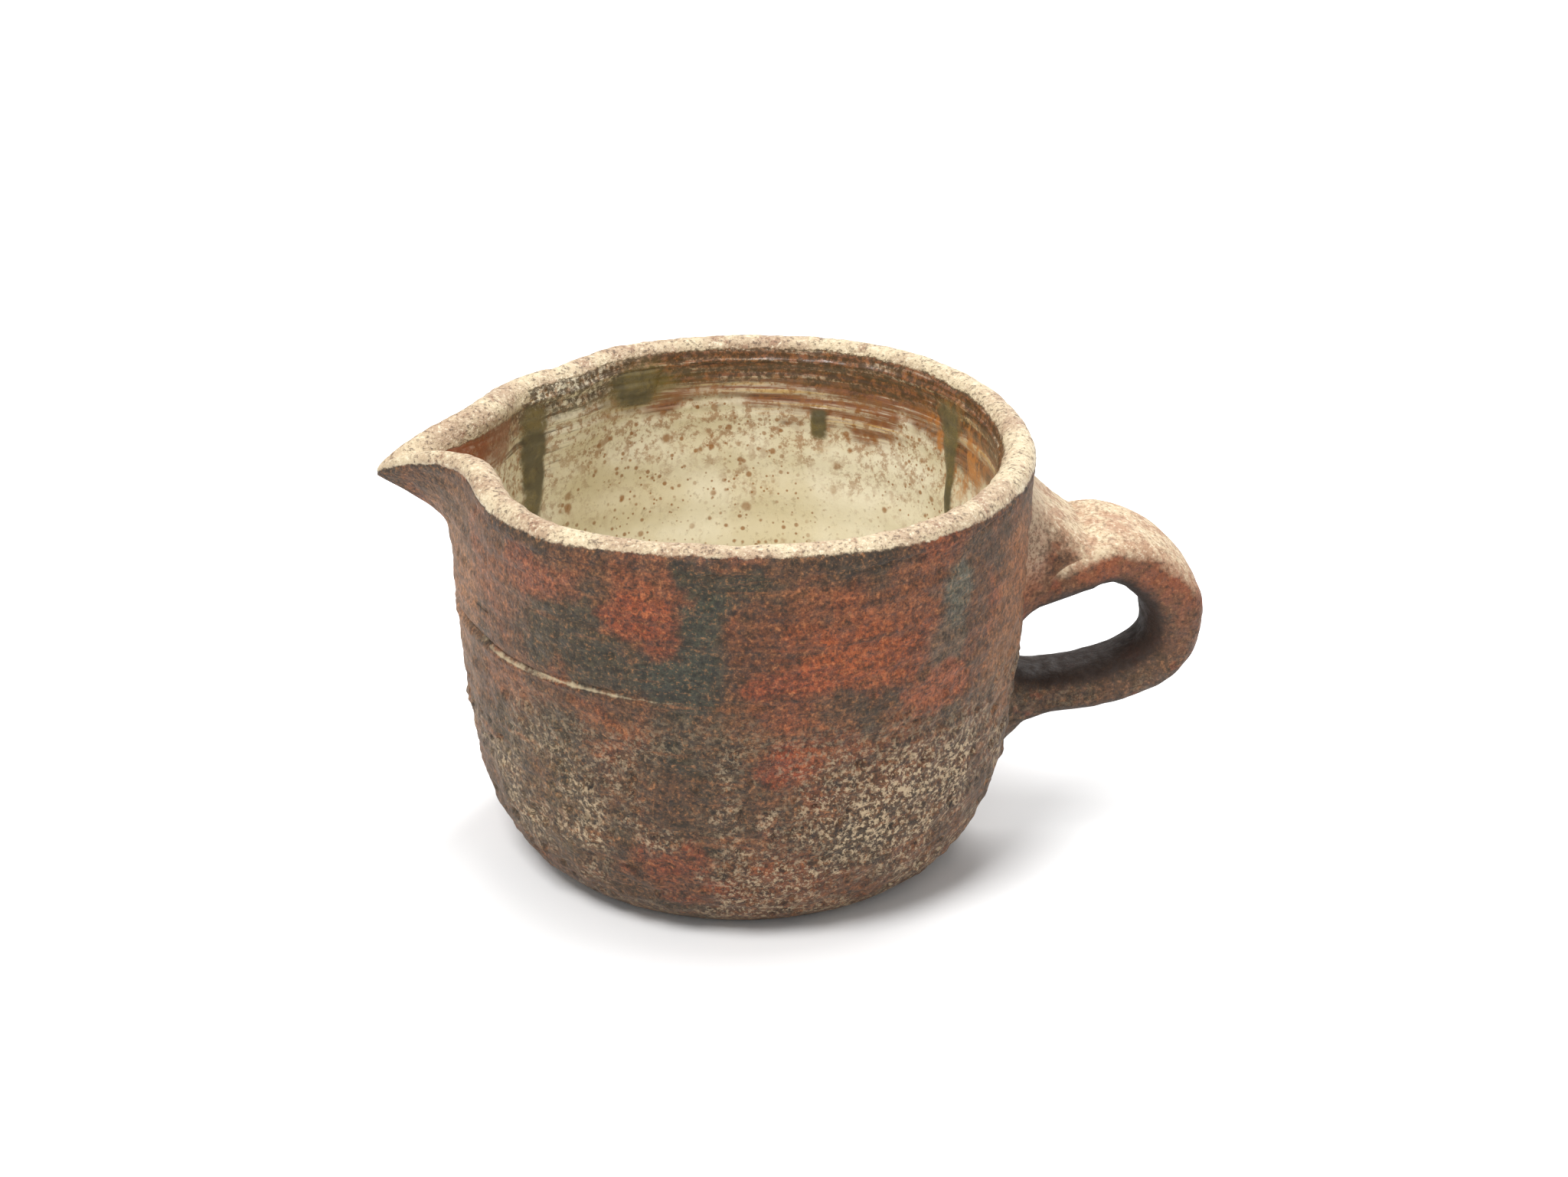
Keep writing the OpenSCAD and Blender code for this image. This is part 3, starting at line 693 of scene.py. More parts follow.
def make_spout_glaze():
    """The glaze that runs on over the spout's lip and down its channel."""
    lip, inside, under = 26, 40, 16
    front = lip + inside
    sides, courses = front + under, 150
    piece, column, course = rod("spout_glaze_coat", sides, courses, 4, 40, (-50, 0, 64))
    a = spout_bearings(course, courses)
    t_lip = np.clip(column / lip, 0, 1)
    t_in = 1 - np.clip((column - lip) / (inside - 1), 0, 1)
    step = 0.01
    r_lip, z_lip = spout_lip(a, t_lip)
    r_next, z_next = spout_lip(a, t_lip + step)
    r_in, z_in = spout_inside(a, t_in)
    r_below, z_below = spout_inside(a, t_in - step)
    on_lip = column < lip
    r, z = np.where(on_lip, r_lip, r_in), np.where(on_lip, z_lip, z_in)
    run_r = np.where(on_lip, r_next - r_lip, r_below - r_in)
    run_z = np.where(on_lip, z_next - z_lip, z_below - z_in)
    size = np.hypot(run_r, run_z) + 1e-9
    out_r, out_z = run_z / size, -run_r / size
    spread = smooth(t_lip, 0, 0.2)
    coat = np.where(on_lip, mix(-0.3, RIM_GLAZE_T, spread), mix(RIM_GLAZE_T, LINING_T, 1 - t_in))
    points = stand_spout(r, z, a)
    bearing = np.degrees(np.arctan2(points[:, 1], points[:, 0]))
    fine = np.where(on_lip, rim_marks(points) * spread, 0)
    rings = np.where(on_lip, 0, inner_marks(bearing, z, points) * (1 - beak_weight(a)) * smooth(t_in, 0, 1))
    size_out = coat + fine + rings * 0.5
    r_top, z_top = r + out_r * -size_out * -1, z + out_z * -size_out * -1
    t_back = np.clip((column - front) / (under - 1), 0, 1) * 0.86
    r_back, z_back = spout_inside(a, t_back)
    hidden = column >= front
    points = np.where(
        hidden[:, None], stand_spout(r_back + 0.6, z_back, a), stand_spout(r_top, z_top, a)
    )
    write_points(piece, lean(points))
    mark(piece, "rim_band", np.where(on_lip, smooth(t_lip, 0.02, 0.22), smooth(t_in, 0.9, 1)) * ~hidden)
    mark(piece, "inner_side", np.where(on_lip, smooth(t_lip, 0.1, 0.3), 1))
    return finish_skin(piece, 75)


# Each run of thick glaze: bearing, half width in degrees, upper and lower ends, and its share
# of that width at the lower end and half way up
GLAZE_RUNS = [
    (147.5, 7.2, 69.0, 45.0, 0.55, 0.75),
    (33.5, 8.0, 69.3, 40.5, 0.16, 0.24),
    (116, 9.0, 68.6, 61.2, 0.75, 0.75),
    (71.5, 3.2, 60.2, 54.0, 0.80, 0.80),
]


def make_run(number, place):
    middle_bearing, half_width, upper, lower, foot_share, waist_share = place
    front, back = 56, 12
    sides, courses = front + back, 40
    b = math.radians(middle_bearing)
    middle = (42 * math.cos(b), 42 * math.sin(b), (upper + lower) / 2)
    piece, column, course = rod(f"glaze_run_{number}", sides, courses, 2, 6, middle)
    u = 2 * course / courses - 1
    t = np.clip(column / (front - 1), 0, 1)
    t_back = 1 - np.clip((column - front) / (back - 1), 0, 1)
    hidden = column >= front
    t = np.where(hidden, t_back, t)
    z = mix(lower, upper, t)
    taper = np.interp(t, [0, 0.5, 0.74, 0.9, 1], [foot_share, waist_share, mix(waist_share, 1, 0.35), 1, 1])
    bearing = middle_bearing + u * half_width * taper
    points = stand(inner_r(z), z, bearing)
    wobble = grain(points, 3.0, 83 + number) * 0.18 + grain(points, 1.3, 89) * 0.06
    shape = (1 - u ** 2) ** 0.75 * (4 * t * (1 - t)) ** 0.35
    thick = mix(-0.25, RUN_T, shape) + wobble * shape
    marks = inner_marks(bearing, z, points)
    r = inner_r(z) - LINING_T - marks - np.where(hidden, -0.3, thick)
    write_points(piece, lean(stand(r, z, bearing)))
    mark(piece, "glaze_depth", np.where(hidden, 0, shape))
    return finish_skin(piece, 75)


# Materials

def tone(red, green, blue):
    """A paint chip's everyday 0 to 255 values as a shader colour."""
    def linear(v):
        v /= 255
        return v / 12.92 if v <= 0.04045 else ((v + 0.055) / 1.055) ** 2.4
    return (linear(red), linear(green), linear(blue), 1.0)


class Bench:
    """Adds nodes to a tree and joins them up."""

    def __init__(self, tree):
        self.tree = tree
        self.where = self.node("ShaderNodeTexCoord").outputs["Object"]

    def node(self, kind, **settings):
        made = self.tree.nodes.new(kind)
        for key, value in settings.items():
            setattr(made, key, value)
        return made

    def put(self, socket, value):
        if isinstance(value, bpy.types.NodeSocket):
            self.tree.links.new(value, socket)
        else:
            socket.default_value = value

    def sum(self, kind, a, b=0.0, clamp=False):
        made = self.node("ShaderNodeMath", operation=kind, use_clamp=clamp)
        self.put(made.inputs[0], a)
        self.put(made.inputs[1], b)
        return made.outputs[0]

    def noise(self, scale, detail=4.0, rough=0.55, where=None, warp=0.0):
        made = self.node("ShaderNodeTexNoise")
        self.put(made.inputs["Vector"], where or self.where)
        made.inputs["Scale"].default_value = scale
        made.inputs["Detail"].default_value = detail
        made.inputs["Roughness"].default_value = rough
        made.inputs["Distortion"].default_value = warp
        return made.outputs["Fac"]

    def cells(self, scale, where=None):
        made = self.node("ShaderNodeTexVoronoi", feature="F1")
        self.put(made.inputs["Vector"], where or self.where)
        made.inputs["Scale"].default_value = scale
        return made

    def placed(self, location=(0, 0, 0), scale=(1, 1, 1)):
        made = self.node("ShaderNodeMapping")
        self.put(made.inputs["Vector"], self.where)
        made.inputs["Location"].default_value = location
        made.inputs["Scale"].default_value = scale
        return made.outputs["Vector"]

    def ramp(self, value, low, high, start=0.0, end=1.0):
        made = self.node("ShaderNodeMapRange", interpolation_type="SMOOTHSTEP")
        for name, part in (("Value", value), ("From Min", low), ("From Max", high),
                           ("To Min", start), ("To Max", end)):
            self.put(made.inputs[name], part)
        return made.outputs["Result"]

    def paint(self, share, under, over, kind="MIX"):
        made = self.node("ShaderNodeMix", data_type="RGBA", blend_type=kind)
        self.put(made.inputs[0], share)
        self.put(made.inputs[6], under)
        self.put(made.inputs[7], over)
        return made.outputs[2]

    def blend(self, kind, share, under, over):
        made = self.node("ShaderNodeMix", data_type=kind)
        first, second, out = (6, 7, 2) if kind == "RGBA" else (2, 3, 0)
        self.put(made.inputs[0], share)
        self.put(made.inputs[first], under)
        self.put(made.inputs[second], over)
        return made.outputs[out]

    def wander(self, height, grain, amount):
        """A height moved up and down by a noise, so that the edge of a band runs unevenly."""
        return self.sum("ADD", height, self.sum("MULTIPLY", self.sum("SUBTRACT", grain, 0.5), amount))

    def patch(self, middle, size, ragged=0.35, grain_scale=160.0):
        """A soft ragged spot about a place on the jug, given in millimetres."""
        scale = [1000.0 / s for s in size]
        location = [-m / s for m, s in zip(middle, size)]
        at = self.placed(location, scale)
        length = self.node("ShaderNodeVectorMath", operation="LENGTH")
        self.put(length.inputs[0], at)
        rough = self.sum("MULTIPLY", self.sum("SUBTRACT", self.noise(grain_scale, 5, 0.6), 0.5), ragged * 4)
        return self.ramp(self.sum("ADD", length.outputs["Value"], rough), 1.25, 0.55)

    def height_and_side(self):
        split = self.node("ShaderNodeSeparateXYZ")
        self.put(split.inputs[0], self.where)
        return split.outputs


def look(name, outputs):
    """An effect that several materials share, as a node group."""
    tree = bpy.data.node_groups.new(name, "ShaderNodeTree")
    for socket, kind in outputs:
        tree.interface.new_socket(name=socket, in_out="OUTPUT", socket_type=kind)
    end = tree.nodes.new("NodeGroupOutput")
    return tree, Bench(tree), end


LOOK_OUT = [("Color", "NodeSocketColor"), ("Roughness", "NodeSocketFloat"), ("Height", "NodeSocketFloat")]

# Spots on the outside: middle and size in millimetres, colour, and strength. The two pale tan spots on the
# left and right edges are painted highlights.
CLAY_SPOTS_AND_EDGE_HIGHLIGHTS = [
    ((-28, -38, 56), (15, 14, 8), (56, 52, 38), 0.90),
    ((-20, -42, 51), (9, 9, 5), (54, 50, 38), 0.85),
    ((-4, -47, 67), (8, 9, 5), (48, 50, 38), 0.90),
    ((-6, -47, 61), (4, 8, 6), (50, 54, 44), 0.95),
    ((-9, -46, 52), (9, 9, 7), (48, 52, 44), 0.95),
    ((6, -47, 58), (8, 9, 7), (98, 52, 26), 0.80),
    ((5, -47, 51), (8, 9, 6), (88, 50, 28), 0.80),
    ((20, -43, 54), (14, 12, 8), (134, 64, 28), 0.90),
    ((26, -40, 62), (9, 9, 5), (112, 62, 34), 0.75),
    ((8, -46, 50), (7, 8, 3), (128, 58, 30), 0.70),
    ((-16, -45, 61), (6, 8, 4.5), (126, 56, 26), 0.82),
    ((-13, -45, 57), (4, 6, 3.5), (116, 52, 24), 0.75),
    ((-32, -35, 64), (9, 9, 4), (128, 66, 42), 0.70),
    ((-38, -24, 58), (8, 10, 8), (116, 74, 54), 0.70),
    ((34, -33, 60), (4, 5, 5), (84, 86, 78), 0.90),
    ((32, -34, 51), (4, 6, 5), (74, 74, 64), 0.70),
    ((31, -35, 43.5), (7, 7, 4), (140, 72, 42), 0.85),
    ((7, -46, 35), (6, 8, 4), (130, 54, 26), 0.80),
    ((15, -44, 37), (6, 7, 4), (122, 62, 32), 0.70),
    ((-11, -42, 14), (8, 8, 6), (132, 58, 30), 0.85),
    ((-4, -43, 9), (7, 8, 4), (120, 56, 30), 0.70),
    ((-36, -27, 42), (7, 10, 5), (124, 76, 52), 0.65),
    # Painted highlights: pale tan down the left and right edges of the wall, where the light grazes it
    ((-46, -10, 50), (8, 13, 20), (148, 106, 78), 0.50),
    ((45, -17, 46), (8, 12, 20), (152, 98, 62), 0.60),
    ((0, 47, 50), (20, 12, 12), (128, 62, 32), 0.75),
    ((-25, 40, 30), (16, 14, 10), (54, 52, 42), 0.80),
    ((30, 34, 40), (14, 14, 10), (132, 64, 36), 0.75),
    ((10, 46, 24), (14, 12, 9), (56, 50, 38), 0.80),
]


def clay_look():
    tree, b, end = look("fired clay outside", LOOK_OUT)
    z = b.height_and_side()[2]
    base = b.node("ShaderNodeValToRGB")
    b.put(base.inputs[0], b.noise(62, 7, 0.62, warp=0.25))
    stops = base.color_ramp.elements
    stops[0].position, stops[0].color = 0.30, tone(50, 46, 34)
    stops[1].position, stops[1].color = 0.76, tone(142, 72, 38)
    for position, colour in ((0.42, (68, 50, 34)), (0.51, (92, 58, 36)), (0.62, (120, 62, 34))):
        stop = stops.new(position)
        stop.color = tone(*colour)
    colour = base.outputs["Color"]
    # Colour spots, and painted highlights on the left and right edges
    for middle, size, spot, strength in CLAY_SPOTS_AND_EDGE_HIGHLIGHTS:
        share = b.sum("MULTIPLY", b.patch(middle, size, 0.60, 190), strength)
        colour = b.paint(share, colour, tone(*spot))
    # The lower half is duller, browner and crusted with ash
    low = b.ramp(z, 0.050, 0.022)
    dull = b.sum("MULTIPLY", low, b.ramp(b.noise(120, 5, 0.6), 0.35, 0.62))
    colour = b.paint(b.sum("MULTIPLY", dull, 0.75), colour, tone(66, 52, 38))
    olive = b.sum("MULTIPLY", b.patch((-33, -31, 24), (16, 16, 15)), 0.55)
    colour = b.paint(olive, colour, tone(72, 66, 48))
    # Horizontal streaks left by the turning
    streak = b.noise(190, 6, 0.7, b.placed((0, 0, 0), (0.30, 0.30, 3.4)))
    colour = b.paint(b.ramp(streak, 0.50, 0.66, 0.0, 0.50), colour, tone(44, 36, 26))
    colour = b.paint(b.ramp(streak, 0.46, 0.34, 0.0, 0.30), colour, tone(156, 96, 62))
    # Grain
    fine = b.noise(1700, 3, 0.65)
    medium = b.noise(560, 5, 0.7)
    colour = b.paint(b.ramp(fine, 0.50, 0.66, 0.0, 0.70), colour, tone(30, 24, 17))
    colour = b.paint(b.ramp(fine, 0.47, 0.32, 0.0, 0.34), colour, tone(180, 122, 80))
    shade = b.ramp(b.noise(820, 8, 0.85), 0.39, 0.61, 0.30, 1.62)
    grey = b.node("ShaderNodeCombineColor")
    for socket in grey.inputs[:3]:
        b.put(socket, shade)
    colour = b.paint(0.85, colour, grey.outputs[0], "MULTIPLY")
    colour = b.paint(b.ramp(medium, 0.54, 0.66, 0.0, 0.60), colour, tone(38, 32, 23))
    # Pale ash, in crumbs
    crust_field = b.sum("ADD", b.ramp(b.noise(85, 4, 0.6), 0.40, 0.62), b.patch((24, -38, 26), (19, 18, 15)))
    crumbs = b.ramp(b.noise(1050, 5, 0.75), 0.49, 0.60)
    ash_share = b.sum("MULTIPLY", b.sum("MULTIPLY", crumbs, crust_field), b.sum("MULTIPLY", low, 0.85), True)
    colour = b.paint(ash_share, colour, tone(182, 162, 140))
    cracks = b.ramp(b.noise(760, 6, 0.8, b.placed((0.3, 0.1, 0), (1, 1, 1.5))), 0.54, 0.63)
    colour = b.paint(b.sum("MULTIPLY", cracks, b.sum("MULTIPLY", low, 0.92)), colour, tone(16, 13, 9))
    # The chalky lip of the scratched line
    line = b.node("ShaderNodeAttribute", attribute_name="scratch_line").outputs["Fac"]
    line = b.sum("ADD", line, b.sum("MULTIPLY", b.sum("SUBTRACT", b.noise(520, 4, 0.7), 0.5), 0.9))
    colour = b.paint(b.ramp(line, 0.70, 1.02, 0.0, 0.80), colour, tone(184, 170, 148))
    # The whole outside is a warm brown
    colour = b.paint(1.0, colour, (0.98, 0.95, 0.80, 1), "MULTIPLY")
    b.put(end.inputs["Color"], colour)
    b.put(end.inputs["Roughness"], b.ramp(medium, 0.3, 0.7, 0.62, 0.88))
    height = b.sum("ADD", b.sum("MULTIPLY", fine, 0.30), b.sum("MULTIPLY", medium, 0.7))
    height = b.sum("ADD", height, b.sum("MULTIPLY", streak, 0.35))
    b.put(end.inputs["Height"], height)
    return tree


def rim_look():
    tree, b, end = look("ash glaze on the rim", LOOK_OUT)
    fine = b.noise(1300, 4, 0.7)
    slow = b.noise(120, 4, 0.6)
    colour = b.paint(b.ramp(slow, 0.38, 0.62), tone(166, 140, 112), tone(196, 178, 146))
    colour = b.paint(b.ramp(b.noise(260, 5, 0.7), 0.54, 0.66, 0.0, 0.65), colour, tone(128, 84, 56))
    colour = b.paint(b.ramp(fine, 0.52, 0.64, 0.0, 0.75), colour, tone(72, 54, 38))
    colour = b.paint(b.ramp(fine, 0.46, 0.32, 0.0, 0.7), colour, tone(226, 214, 186))
    b.put(end.inputs["Color"], colour)
    b.put(end.inputs["Roughness"], b.ramp(fine, 0.3, 0.7, 0.38, 0.62))
    b.put(end.inputs["Height"], b.sum("ADD", fine, b.sum("MULTIPLY", slow, 0.6)))
    return tree


def glaze_look():
    tree, b, end = look("cream glaze inside", LOOK_OUT)
    x, _, z = b.height_and_side()
    slow = b.noise(70, 4, 0.55)
    colour = b.paint(b.ramp(slow, 0.35, 0.65), tone(208, 197, 166), tone(222, 214, 190))
    deep = b.ramp(z, 0.034, 0.012)
    colour = b.paint(b.sum("MULTIPLY", deep, 0.6), colour, tone(206, 203, 174))
    # Brown specks where grains of iron have bled through
    for scale, size, seed in ((190, 0.15, 0.0), (300, 0.15, 3.1), (480, 0.17, 7.7), (800, 0.16, 5.3)):
        spots = b.cells(scale, b.placed((seed, seed * 0.7, seed * 1.3)))
        ragged = b.sum("ADD", spots.outputs["Distance"], b.sum("MULTIPLY", b.noise(900, 3, 0.6), 0.16))
        here = b.ramp(b.noise(48, 3, 0.5, b.placed((seed, 0, 1))), 0.38, 0.54)
        share = b.sum("MULTIPLY", b.ramp(ragged, size + 0.16, size + 0.02), here)
        colour = b.paint(b.sum("MULTIPLY", share, 0.85), colour, tone(142, 96, 50))
    # The rust band below the rim, drawn into rings
    band = b.ramp(b.wander(z, b.noise(60, 4, 0.6), 0.030), 0.0545, 0.0605)
    rings = b.noise(150, 5, 0.65, b.placed((0, 0, 0), (0.22, 0.22, 5.2)))
    far = b.ramp(x, -0.030, -0.012)
    rust = b.sum("MULTIPLY", b.sum("MULTIPLY", band, far), b.ramp(rings, 0.36, 0.50, 0.25, 1.0))
    colour = b.paint(b.sum("MULTIPLY", rust, 0.95), colour, tone(120, 66, 30))
    dark_rings = b.sum("MULTIPLY", b.sum("MULTIPLY", band, b.ramp(rings, 0.52, 0.62)), 0.85)
    colour = b.paint(dark_rings, colour, tone(66, 44, 22))
    pale_rings = b.sum("MULTIPLY", b.sum("MULTIPLY", band, b.ramp(rings, 0.42, 0.34)), 0.75)
    colour = b.paint(pale_rings, colour, tone(200, 160, 92))
    veil = b.ramp(b.wander(z, b.noise(110, 5, 0.65), 0.044), 0.040, 0.058)
    veil = b.sum("MULTIPLY", veil, b.ramp(b.noise(620, 5, 0.75), 0.47, 0.60))
    colour = b.paint(b.sum("MULTIPLY", veil, 0.70), colour, tone(138, 88, 42))
    crest = b.ramp(b.wander(z, b.noise(200, 5, 0.7), 0.008), 0.0625, 0.0655)
    crest = b.sum("MULTIPLY", crest, b.ramp(b.noise(900, 5, 0.75), 0.40, 0.56))
    colour = b.paint(b.sum("MULTIPLY", crest, 0.90), colour, tone(66, 48, 26))
    # Orange streaks by the handle, and the red-brown of the spout
    orange = b.patch((36, 19, 60), (9, 12, 9))
    streaky = b.ramp(b.noise(420, 5, 0.7, b.placed((0, 0, 0), (1, 1, 0.4))), 0.46, 0.58)
    colour = b.paint(b.sum("MULTIPLY", b.sum("MULTIPLY", orange, streaky), 0.9), colour, tone(176, 112, 50))
    for middle, size in (((-48, 3, 66), (9, 8, 5)), ((-43, 13, 66), (8, 9, 5)), ((-44, -8, 64), (8, 6, 4))):
        red = b.sum("MULTIPLY", b.patch(middle, size, 0.45, 210), 0.85)
        colour = b.paint(red, colour, tone(124, 66, 34))
    olive = b.sum("MULTIPLY", b.patch((-17, 39, 65), (9, 8, 4)), 0.7)
    colour = b.paint(olive, colour, tone(112, 98, 46))
    fine = b.noise(1000, 3, 0.6)
    colour = b.paint(b.ramp(fine, 0.56, 0.72, 0.0, 0.35), colour, tone(130, 100, 60))
    b.put(end.inputs["Color"], colour)
    b.put(end.inputs["Roughness"], b.ramp(b.noise(300, 4, 0.6), 0.3, 0.7, 0.24, 0.46))
    b.put(end.inputs["Height"], b.sum("ADD", b.sum("MULTIPLY", slow, 0.6), b.sum("MULTIPLY", fine, 0.25)))
    return tree


def start_material(name):
    material = bpy.data.materials.new(name)
    material.use_nodes = True
    tree = material.node_tree
    b = Bench(tree)
    shader = tree.nodes["Principled BSDF"]
    return material, b, shader


def use(b, tree):
    made = b.node("ShaderNodeGroup")
    made.node_tree = tree
    return made.outputs


def dress(b, shader, colour, roughness, height, distance):
    b.put(shader.inputs["Base Color"], colour)
    b.put(shader.inputs["Roughness"], roughness)
    relief = b.node("ShaderNodeBump")
    relief.inputs["Strength"].default_value = 1.0
    relief.inputs["Distance"].default_value = distance
    b.put(relief.inputs["Height"], height)
    b.put(shader.inputs["Normal"], relief.outputs["Normal"])


def kept_value(b, name):
    return b.node("ShaderNodeAttribute", attribute_name=name).outputs["Fac"]


def body_material(clay):
    material, b, shader = start_material("fired clay")
    looks = use(b, clay)
    dress(b, shader, looks["Color"], looks["Roughness"], looks["Height"], 0.0006)
    shader.inputs["Sheen Weight"].default_value = 0.12
    shader.inputs["Sheen Roughness"].default_value = 0.45
    shader.inputs["Sheen Tint"].default_value = (1.0, 0.72, 0.52, 1)
    return material


def rim_material(clay, rim, glaze):
    """The pale ash band, which runs out into bare clay outside and into the cream glaze inside."""
    material, b, shader = start_material("pale ash glaze on the rim")
    inner = kept_value(b, "inner_side")
    ragged = b.sum("MULTIPLY", b.sum("SUBTRACT", b.noise(420, 5, 0.75), 0.5), 1.3)
    band = b.ramp(b.sum("ADD", kept_value(b, "rim_band"), ragged), 0.34, 0.62)
    outside, top, inside = use(b, clay), use(b, rim), use(b, glaze)
    parts = {}
    for key, kind in (("Color", "RGBA"), ("Roughness", "FLOAT"), ("Height", "FLOAT")):
        under = b.blend(kind, inner, outside[key], inside[key])
        parts[key] = b.blend(kind, band, under, top[key])
    dress(b, shader, parts["Color"], parts["Roughness"], parts["Height"], 0.0005)
    return material


def lining_material(glaze):
    material, b, shader = start_material("cream glaze")
    looks = use(b, glaze)
    dress(b, shader, looks["Color"], looks["Roughness"], looks["Height"], 0.0003)
    shader.inputs["Coat Weight"].default_value = 0.25
    shader.inputs["Coat Roughness"].default_value = 0.18
    return material


def handle_material(clay):
    material, b, shader = start_material("handle clay")
    looks = use(b, clay)
    split = b.node("ShaderNodeSeparateXYZ")
    b.put(split.inputs[0], b.node("ShaderNodeNewGeometry").outputs["Normal"])
    x, _, z = b.height_and_side()
    speck = b.noise(1300, 4, 0.7)
    ragged = b.sum("MULTIPLY", b.sum("SUBTRACT", b.noise(330, 6, 0.75), 0.5), 0.9)
    facing = b.sum("ADD", split.outputs[2], ragged)
    # Rust on the upper branch, browner and darker below
    rust = b.paint(b.ramp(z, 0.030, 0.046), tone(84, 58, 38), tone(132, 68, 34))
    rust = b.paint(b.ramp(b.noise(140, 5, 0.65), 0.42, 0.60, 0.0, 0.7), rust, tone(70, 58, 40))
    rust = b.paint(b.ramp(b.noise(170, 5, 0.65), 0.56, 0.66, 0.0, 0.6), rust, tone(140, 62, 34))
    colour = b.paint(0.30, rust, looks["Color"])
    colour = b.paint(b.ramp(speck, 0.50, 0.64, 0.0, 0.65), colour, tone(32, 24, 16))
    colour = b.paint(b.ramp(speck, 0.46, 0.34, 0.0, 0.35), colour, tone(178, 122, 82))
    # Painted shade: the inner face of the loop, which looks towards the wall, is darkened
    inner = b.sum("ADD", kept_value(b, "outer_face"), b.sum("MULTIPLY", ragged, 0.4))
    colour = b.paint(b.ramp(inner, -0.05, -0.55, 0.0, 0.90), colour, tone(40, 24, 14))
    # Painted shade on the faces that turn downwards, away from the light
    under = b.ramp(facing, -0.15, -0.80, 0.0, 0.75)
    colour = b.paint(under, colour, tone(34, 26, 18))
    # Ash that fell on the top, painted paler as well for the highlight where the top faces up to the light
    ash = b.paint(b.ramp(b.noise(260, 5, 0.7), 0.40, 0.62), tone(188, 168, 138), tone(160, 126, 98))
    ash = b.paint(b.ramp(speck, 0.50, 0.62, 0.0, 0.60), ash, tone(104, 80, 58))
    ash = b.paint(b.ramp(speck, 0.46, 0.34, 0.0, 0.60), ash, tone(216, 204, 178))
    top = b.sum("MULTIPLY", b.ramp(facing, 0.10, 0.72), b.ramp(z, 0.038, 0.046))
    colour = b.paint(top, colour, ash)
    # Painted highlight: a pale band where the upper root meets the wall
    beside = b.sum("ADD", x, b.sum("MULTIPLY", ragged, 0.0022))
    root_highlight = b.sum("MULTIPLY", b.ramp(beside, 0.0512, 0.0490), b.ramp(z, 0.046, 0.055))
    root_highlight = b.sum("MULTIPLY", root_highlight, b.ramp(speck, 0.60, 0.42, 0.20, 0.70))
    colour = b.paint(root_highlight, colour, tone(176, 156, 130))
    dress(b, shader, colour, looks["Roughness"], looks["Height"], 0.0004)
    return material


def run_material(glaze):
    material, b, shader = start_material("olive glaze")
    looks = use(b, glaze)
    slow = b.noise(240, 5, 0.6)
    olive = b.paint(b.ramp(slow, 0.35, 0.62), tone(112, 98, 60), tone(84, 76, 52))
    olive = b.paint(b.ramp(b.noise(700, 4, 0.6), 0.56, 0.70, 0.0, 0.6), olive, tone(66, 54, 32))
    depth = kept_value(b, "glaze_depth")
    worn = b.sum("ADD", depth, b.sum("MULTIPLY", b.sum("SUBTRACT", b.noise(420, 5, 0.7), 0.5), 0.8))
    cover = b.ramp(worn, 0.30, 0.75)
    dress(b, shader, b.paint(cover, looks["Color"], olive), b.ramp(slow, 0.3, 0.7, 0.22, 0.40), slow, 0.0003)
    return material


# Put it together

def seat_piece(piece, material, slot, *nodes):
    piece.data.materials.clear()
    piece.data.materials.append(material)
    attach(piece, "root")
    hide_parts(*nodes)


clay, rim, glaze = clay_look(), rim_look(), glaze_look()
fired = body_material(clay)
seat_piece(make_body(), fired, "fired_clay", "thrown_body")
seat_piece(make_spout(), fired, "fired_clay", "spout")
strap_clay = handle_material(clay)
seat_piece(make_handle(), strap_clay, "handle_clay", "handle")
upper = make_lute("handle_upper_lute_clay", 0, OVER_SPREAD, UNDER_SPREAD, 1, 0.05)
seat_piece(upper, strap_clay, "handle_clay", "handle_upper_lute")
tail = HANDLE_LOW_Z - LOW_T / 2 - TAIL_END_Z
lower = make_lute("handle_lower_lute_clay", 2, UNDER_SPREAD, tail, -1, 0.05)
seat_piece(lower, strap_clay, "handle_clay", "handle_lower_lute")
lined = lining_material(glaze)
rim_ash = rim_material(clay, rim, glaze)
seat_piece(make_lining(), lined, "cream_glaze", "glaze_lining")
seat_piece(make_spout_glaze(), rim_ash, "cream_glaze", "spout_glaze")
seat_piece(make_rim_glaze(), rim_ash, "rim_ash_glaze", "rim_glaze")
olive_glaze = run_material(glaze)
for number, place in enumerate(GLAZE_RUNS, 1):
    seat_piece(make_run(number, place), olive_glaze, "olive_glaze", "glaze_runs")


# Floor, light and camera

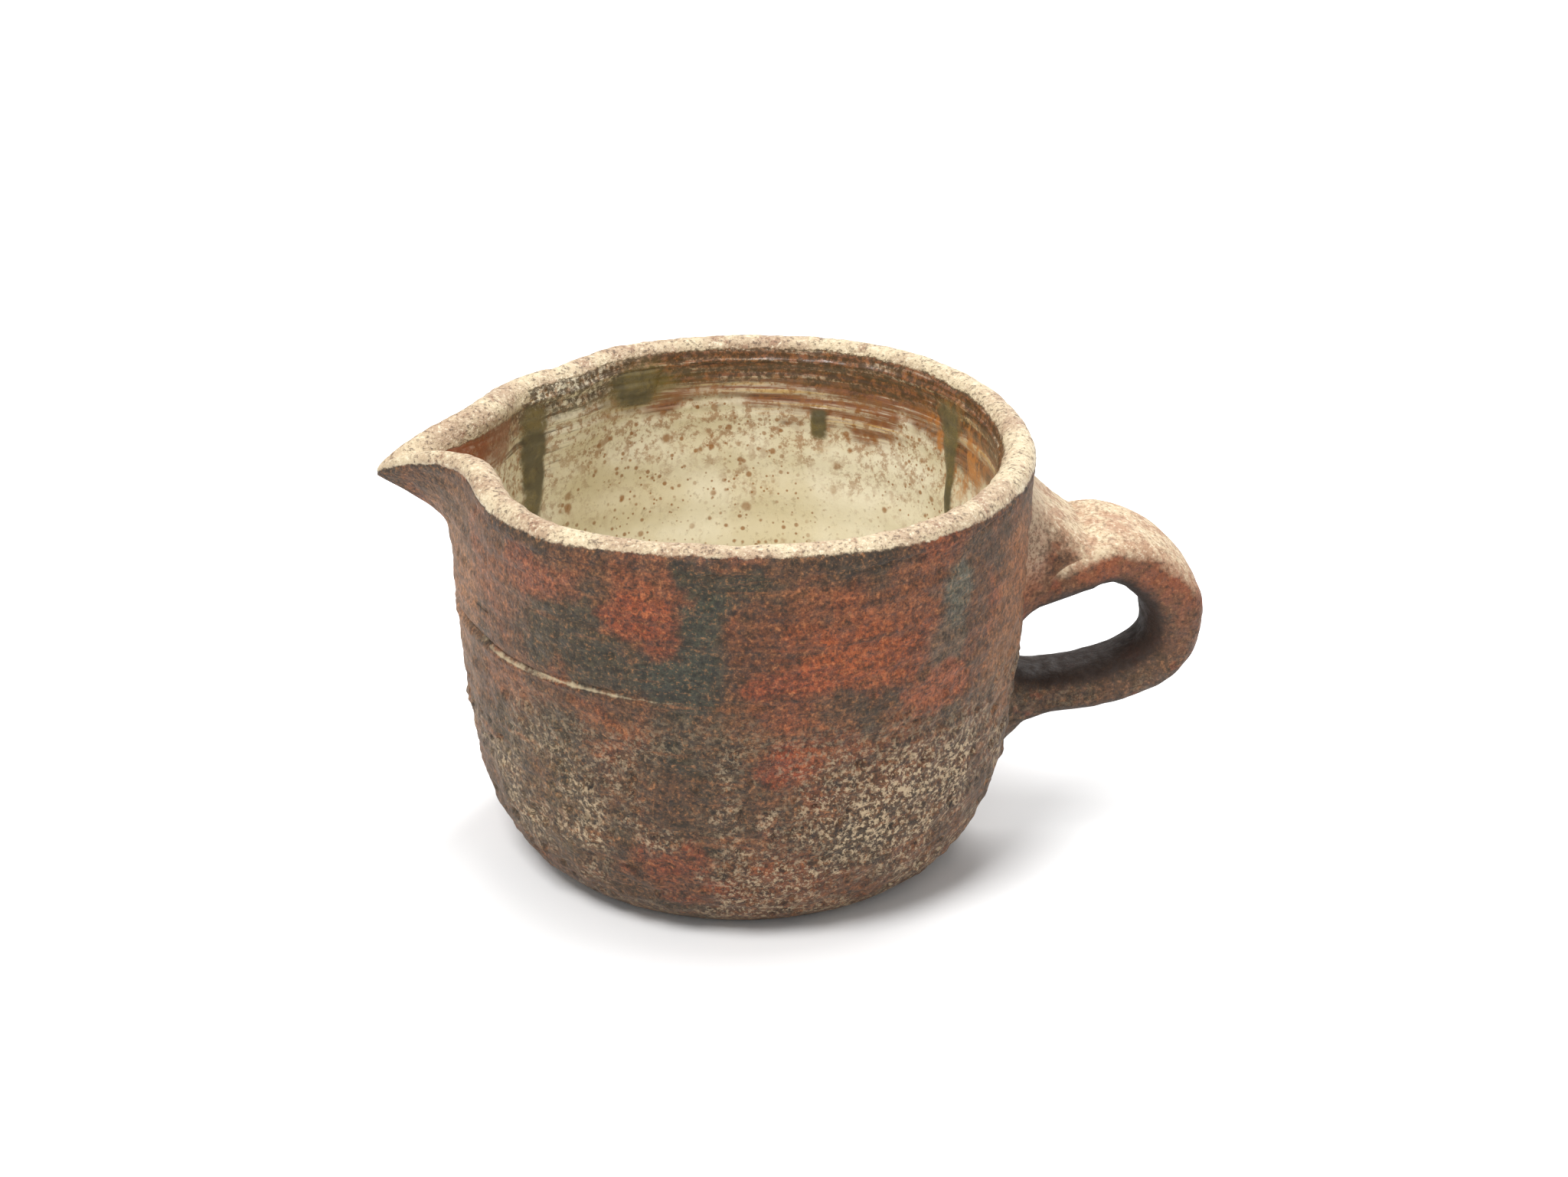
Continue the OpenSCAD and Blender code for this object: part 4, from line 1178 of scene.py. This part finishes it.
def make_floor():
    bpy.ops.object.select_all(action="DESELECT")
    bpy.ops.mesh.primitive_plane_add(size=6, location=(0, 0, 0))
    floor = bpy.context.object
    floor.name = "floor"
    material, _, shader = start_material("pale floor")
    shader.inputs["Base Color"].default_value = (0.86, 0.86, 0.86, 1)
    shader.inputs["Roughness"].default_value = 0.9
    shader.inputs["Specular IOR Level"].default_value = 0.1
    floor.data.materials.append(material)


def soft_light(name, place, size, power, colour=(1, 1, 1)):
    light = bpy.data.lights.new(name, "AREA")
    light.shape = "DISK"
    light.size = size
    light.energy = power
    light.color = colour
    lamp = bpy.data.objects.new(name, light)
    bpy.context.scene.collection.objects.link(lamp)
    lamp.location = place
    aim = -lamp.location
    aim.z += 0.03
    lamp.rotation_euler = aim.to_track_quat("-Z", "Y").to_euler()


make_floor()
# Each lamp has its place and size in metres and its power in watts
soft_light("key light", place=(-0.35, -0.50, 1.00), size=0.45, power=10.0)
soft_light("back light", place=(0.40, 0.75, 0.85), size=0.5, power=9.0)
soft_light("top light", place=(0.05, 0.05, 1.10), size=0.4, power=6.0)
SKY_STRENGTH = 0.62
world = bpy.data.worlds.new("studio")
bpy.context.scene.world = world
world.use_nodes = True
world.node_tree.nodes["Background"].inputs["Color"].default_value = (1, 1, 1, 1)
world.node_tree.nodes["Background"].inputs["Strength"].default_value = SKY_STRENGTH

# The photograph's view: elevation, distance and focal length in pixels of a frame 2048 wide
ELEVATION, DISTANCE, FOCAL = math.radians(25.95), 600.0, 4675.0
AIM_HEIGHT, FRAME_W, SENSOR = 36.0, 2048.0, 36.0
camera = bpy.data.cameras.new("camera")
camera.sensor_width = SENSOR
camera.lens = FOCAL / FRAME_W * SENSOR
camera.shift_x = 56.5 / FRAME_W
camera.shift_y = 59.0 / FRAME_W
camera.clip_start = 0.05
eye = bpy.data.objects.new("camera", camera)
bpy.context.scene.collection.objects.link(eye)
eye.location = (
    0, -DISTANCE * math.cos(ELEVATION) * MM, (AIM_HEIGHT + DISTANCE * math.sin(ELEVATION)) * MM
)
eye.rotation_euler = (math.pi / 2 - ELEVATION, 0, 0)
bpy.context.scene.camera = eye
bpy.context.scene.view_settings.view_transform = "Standard"
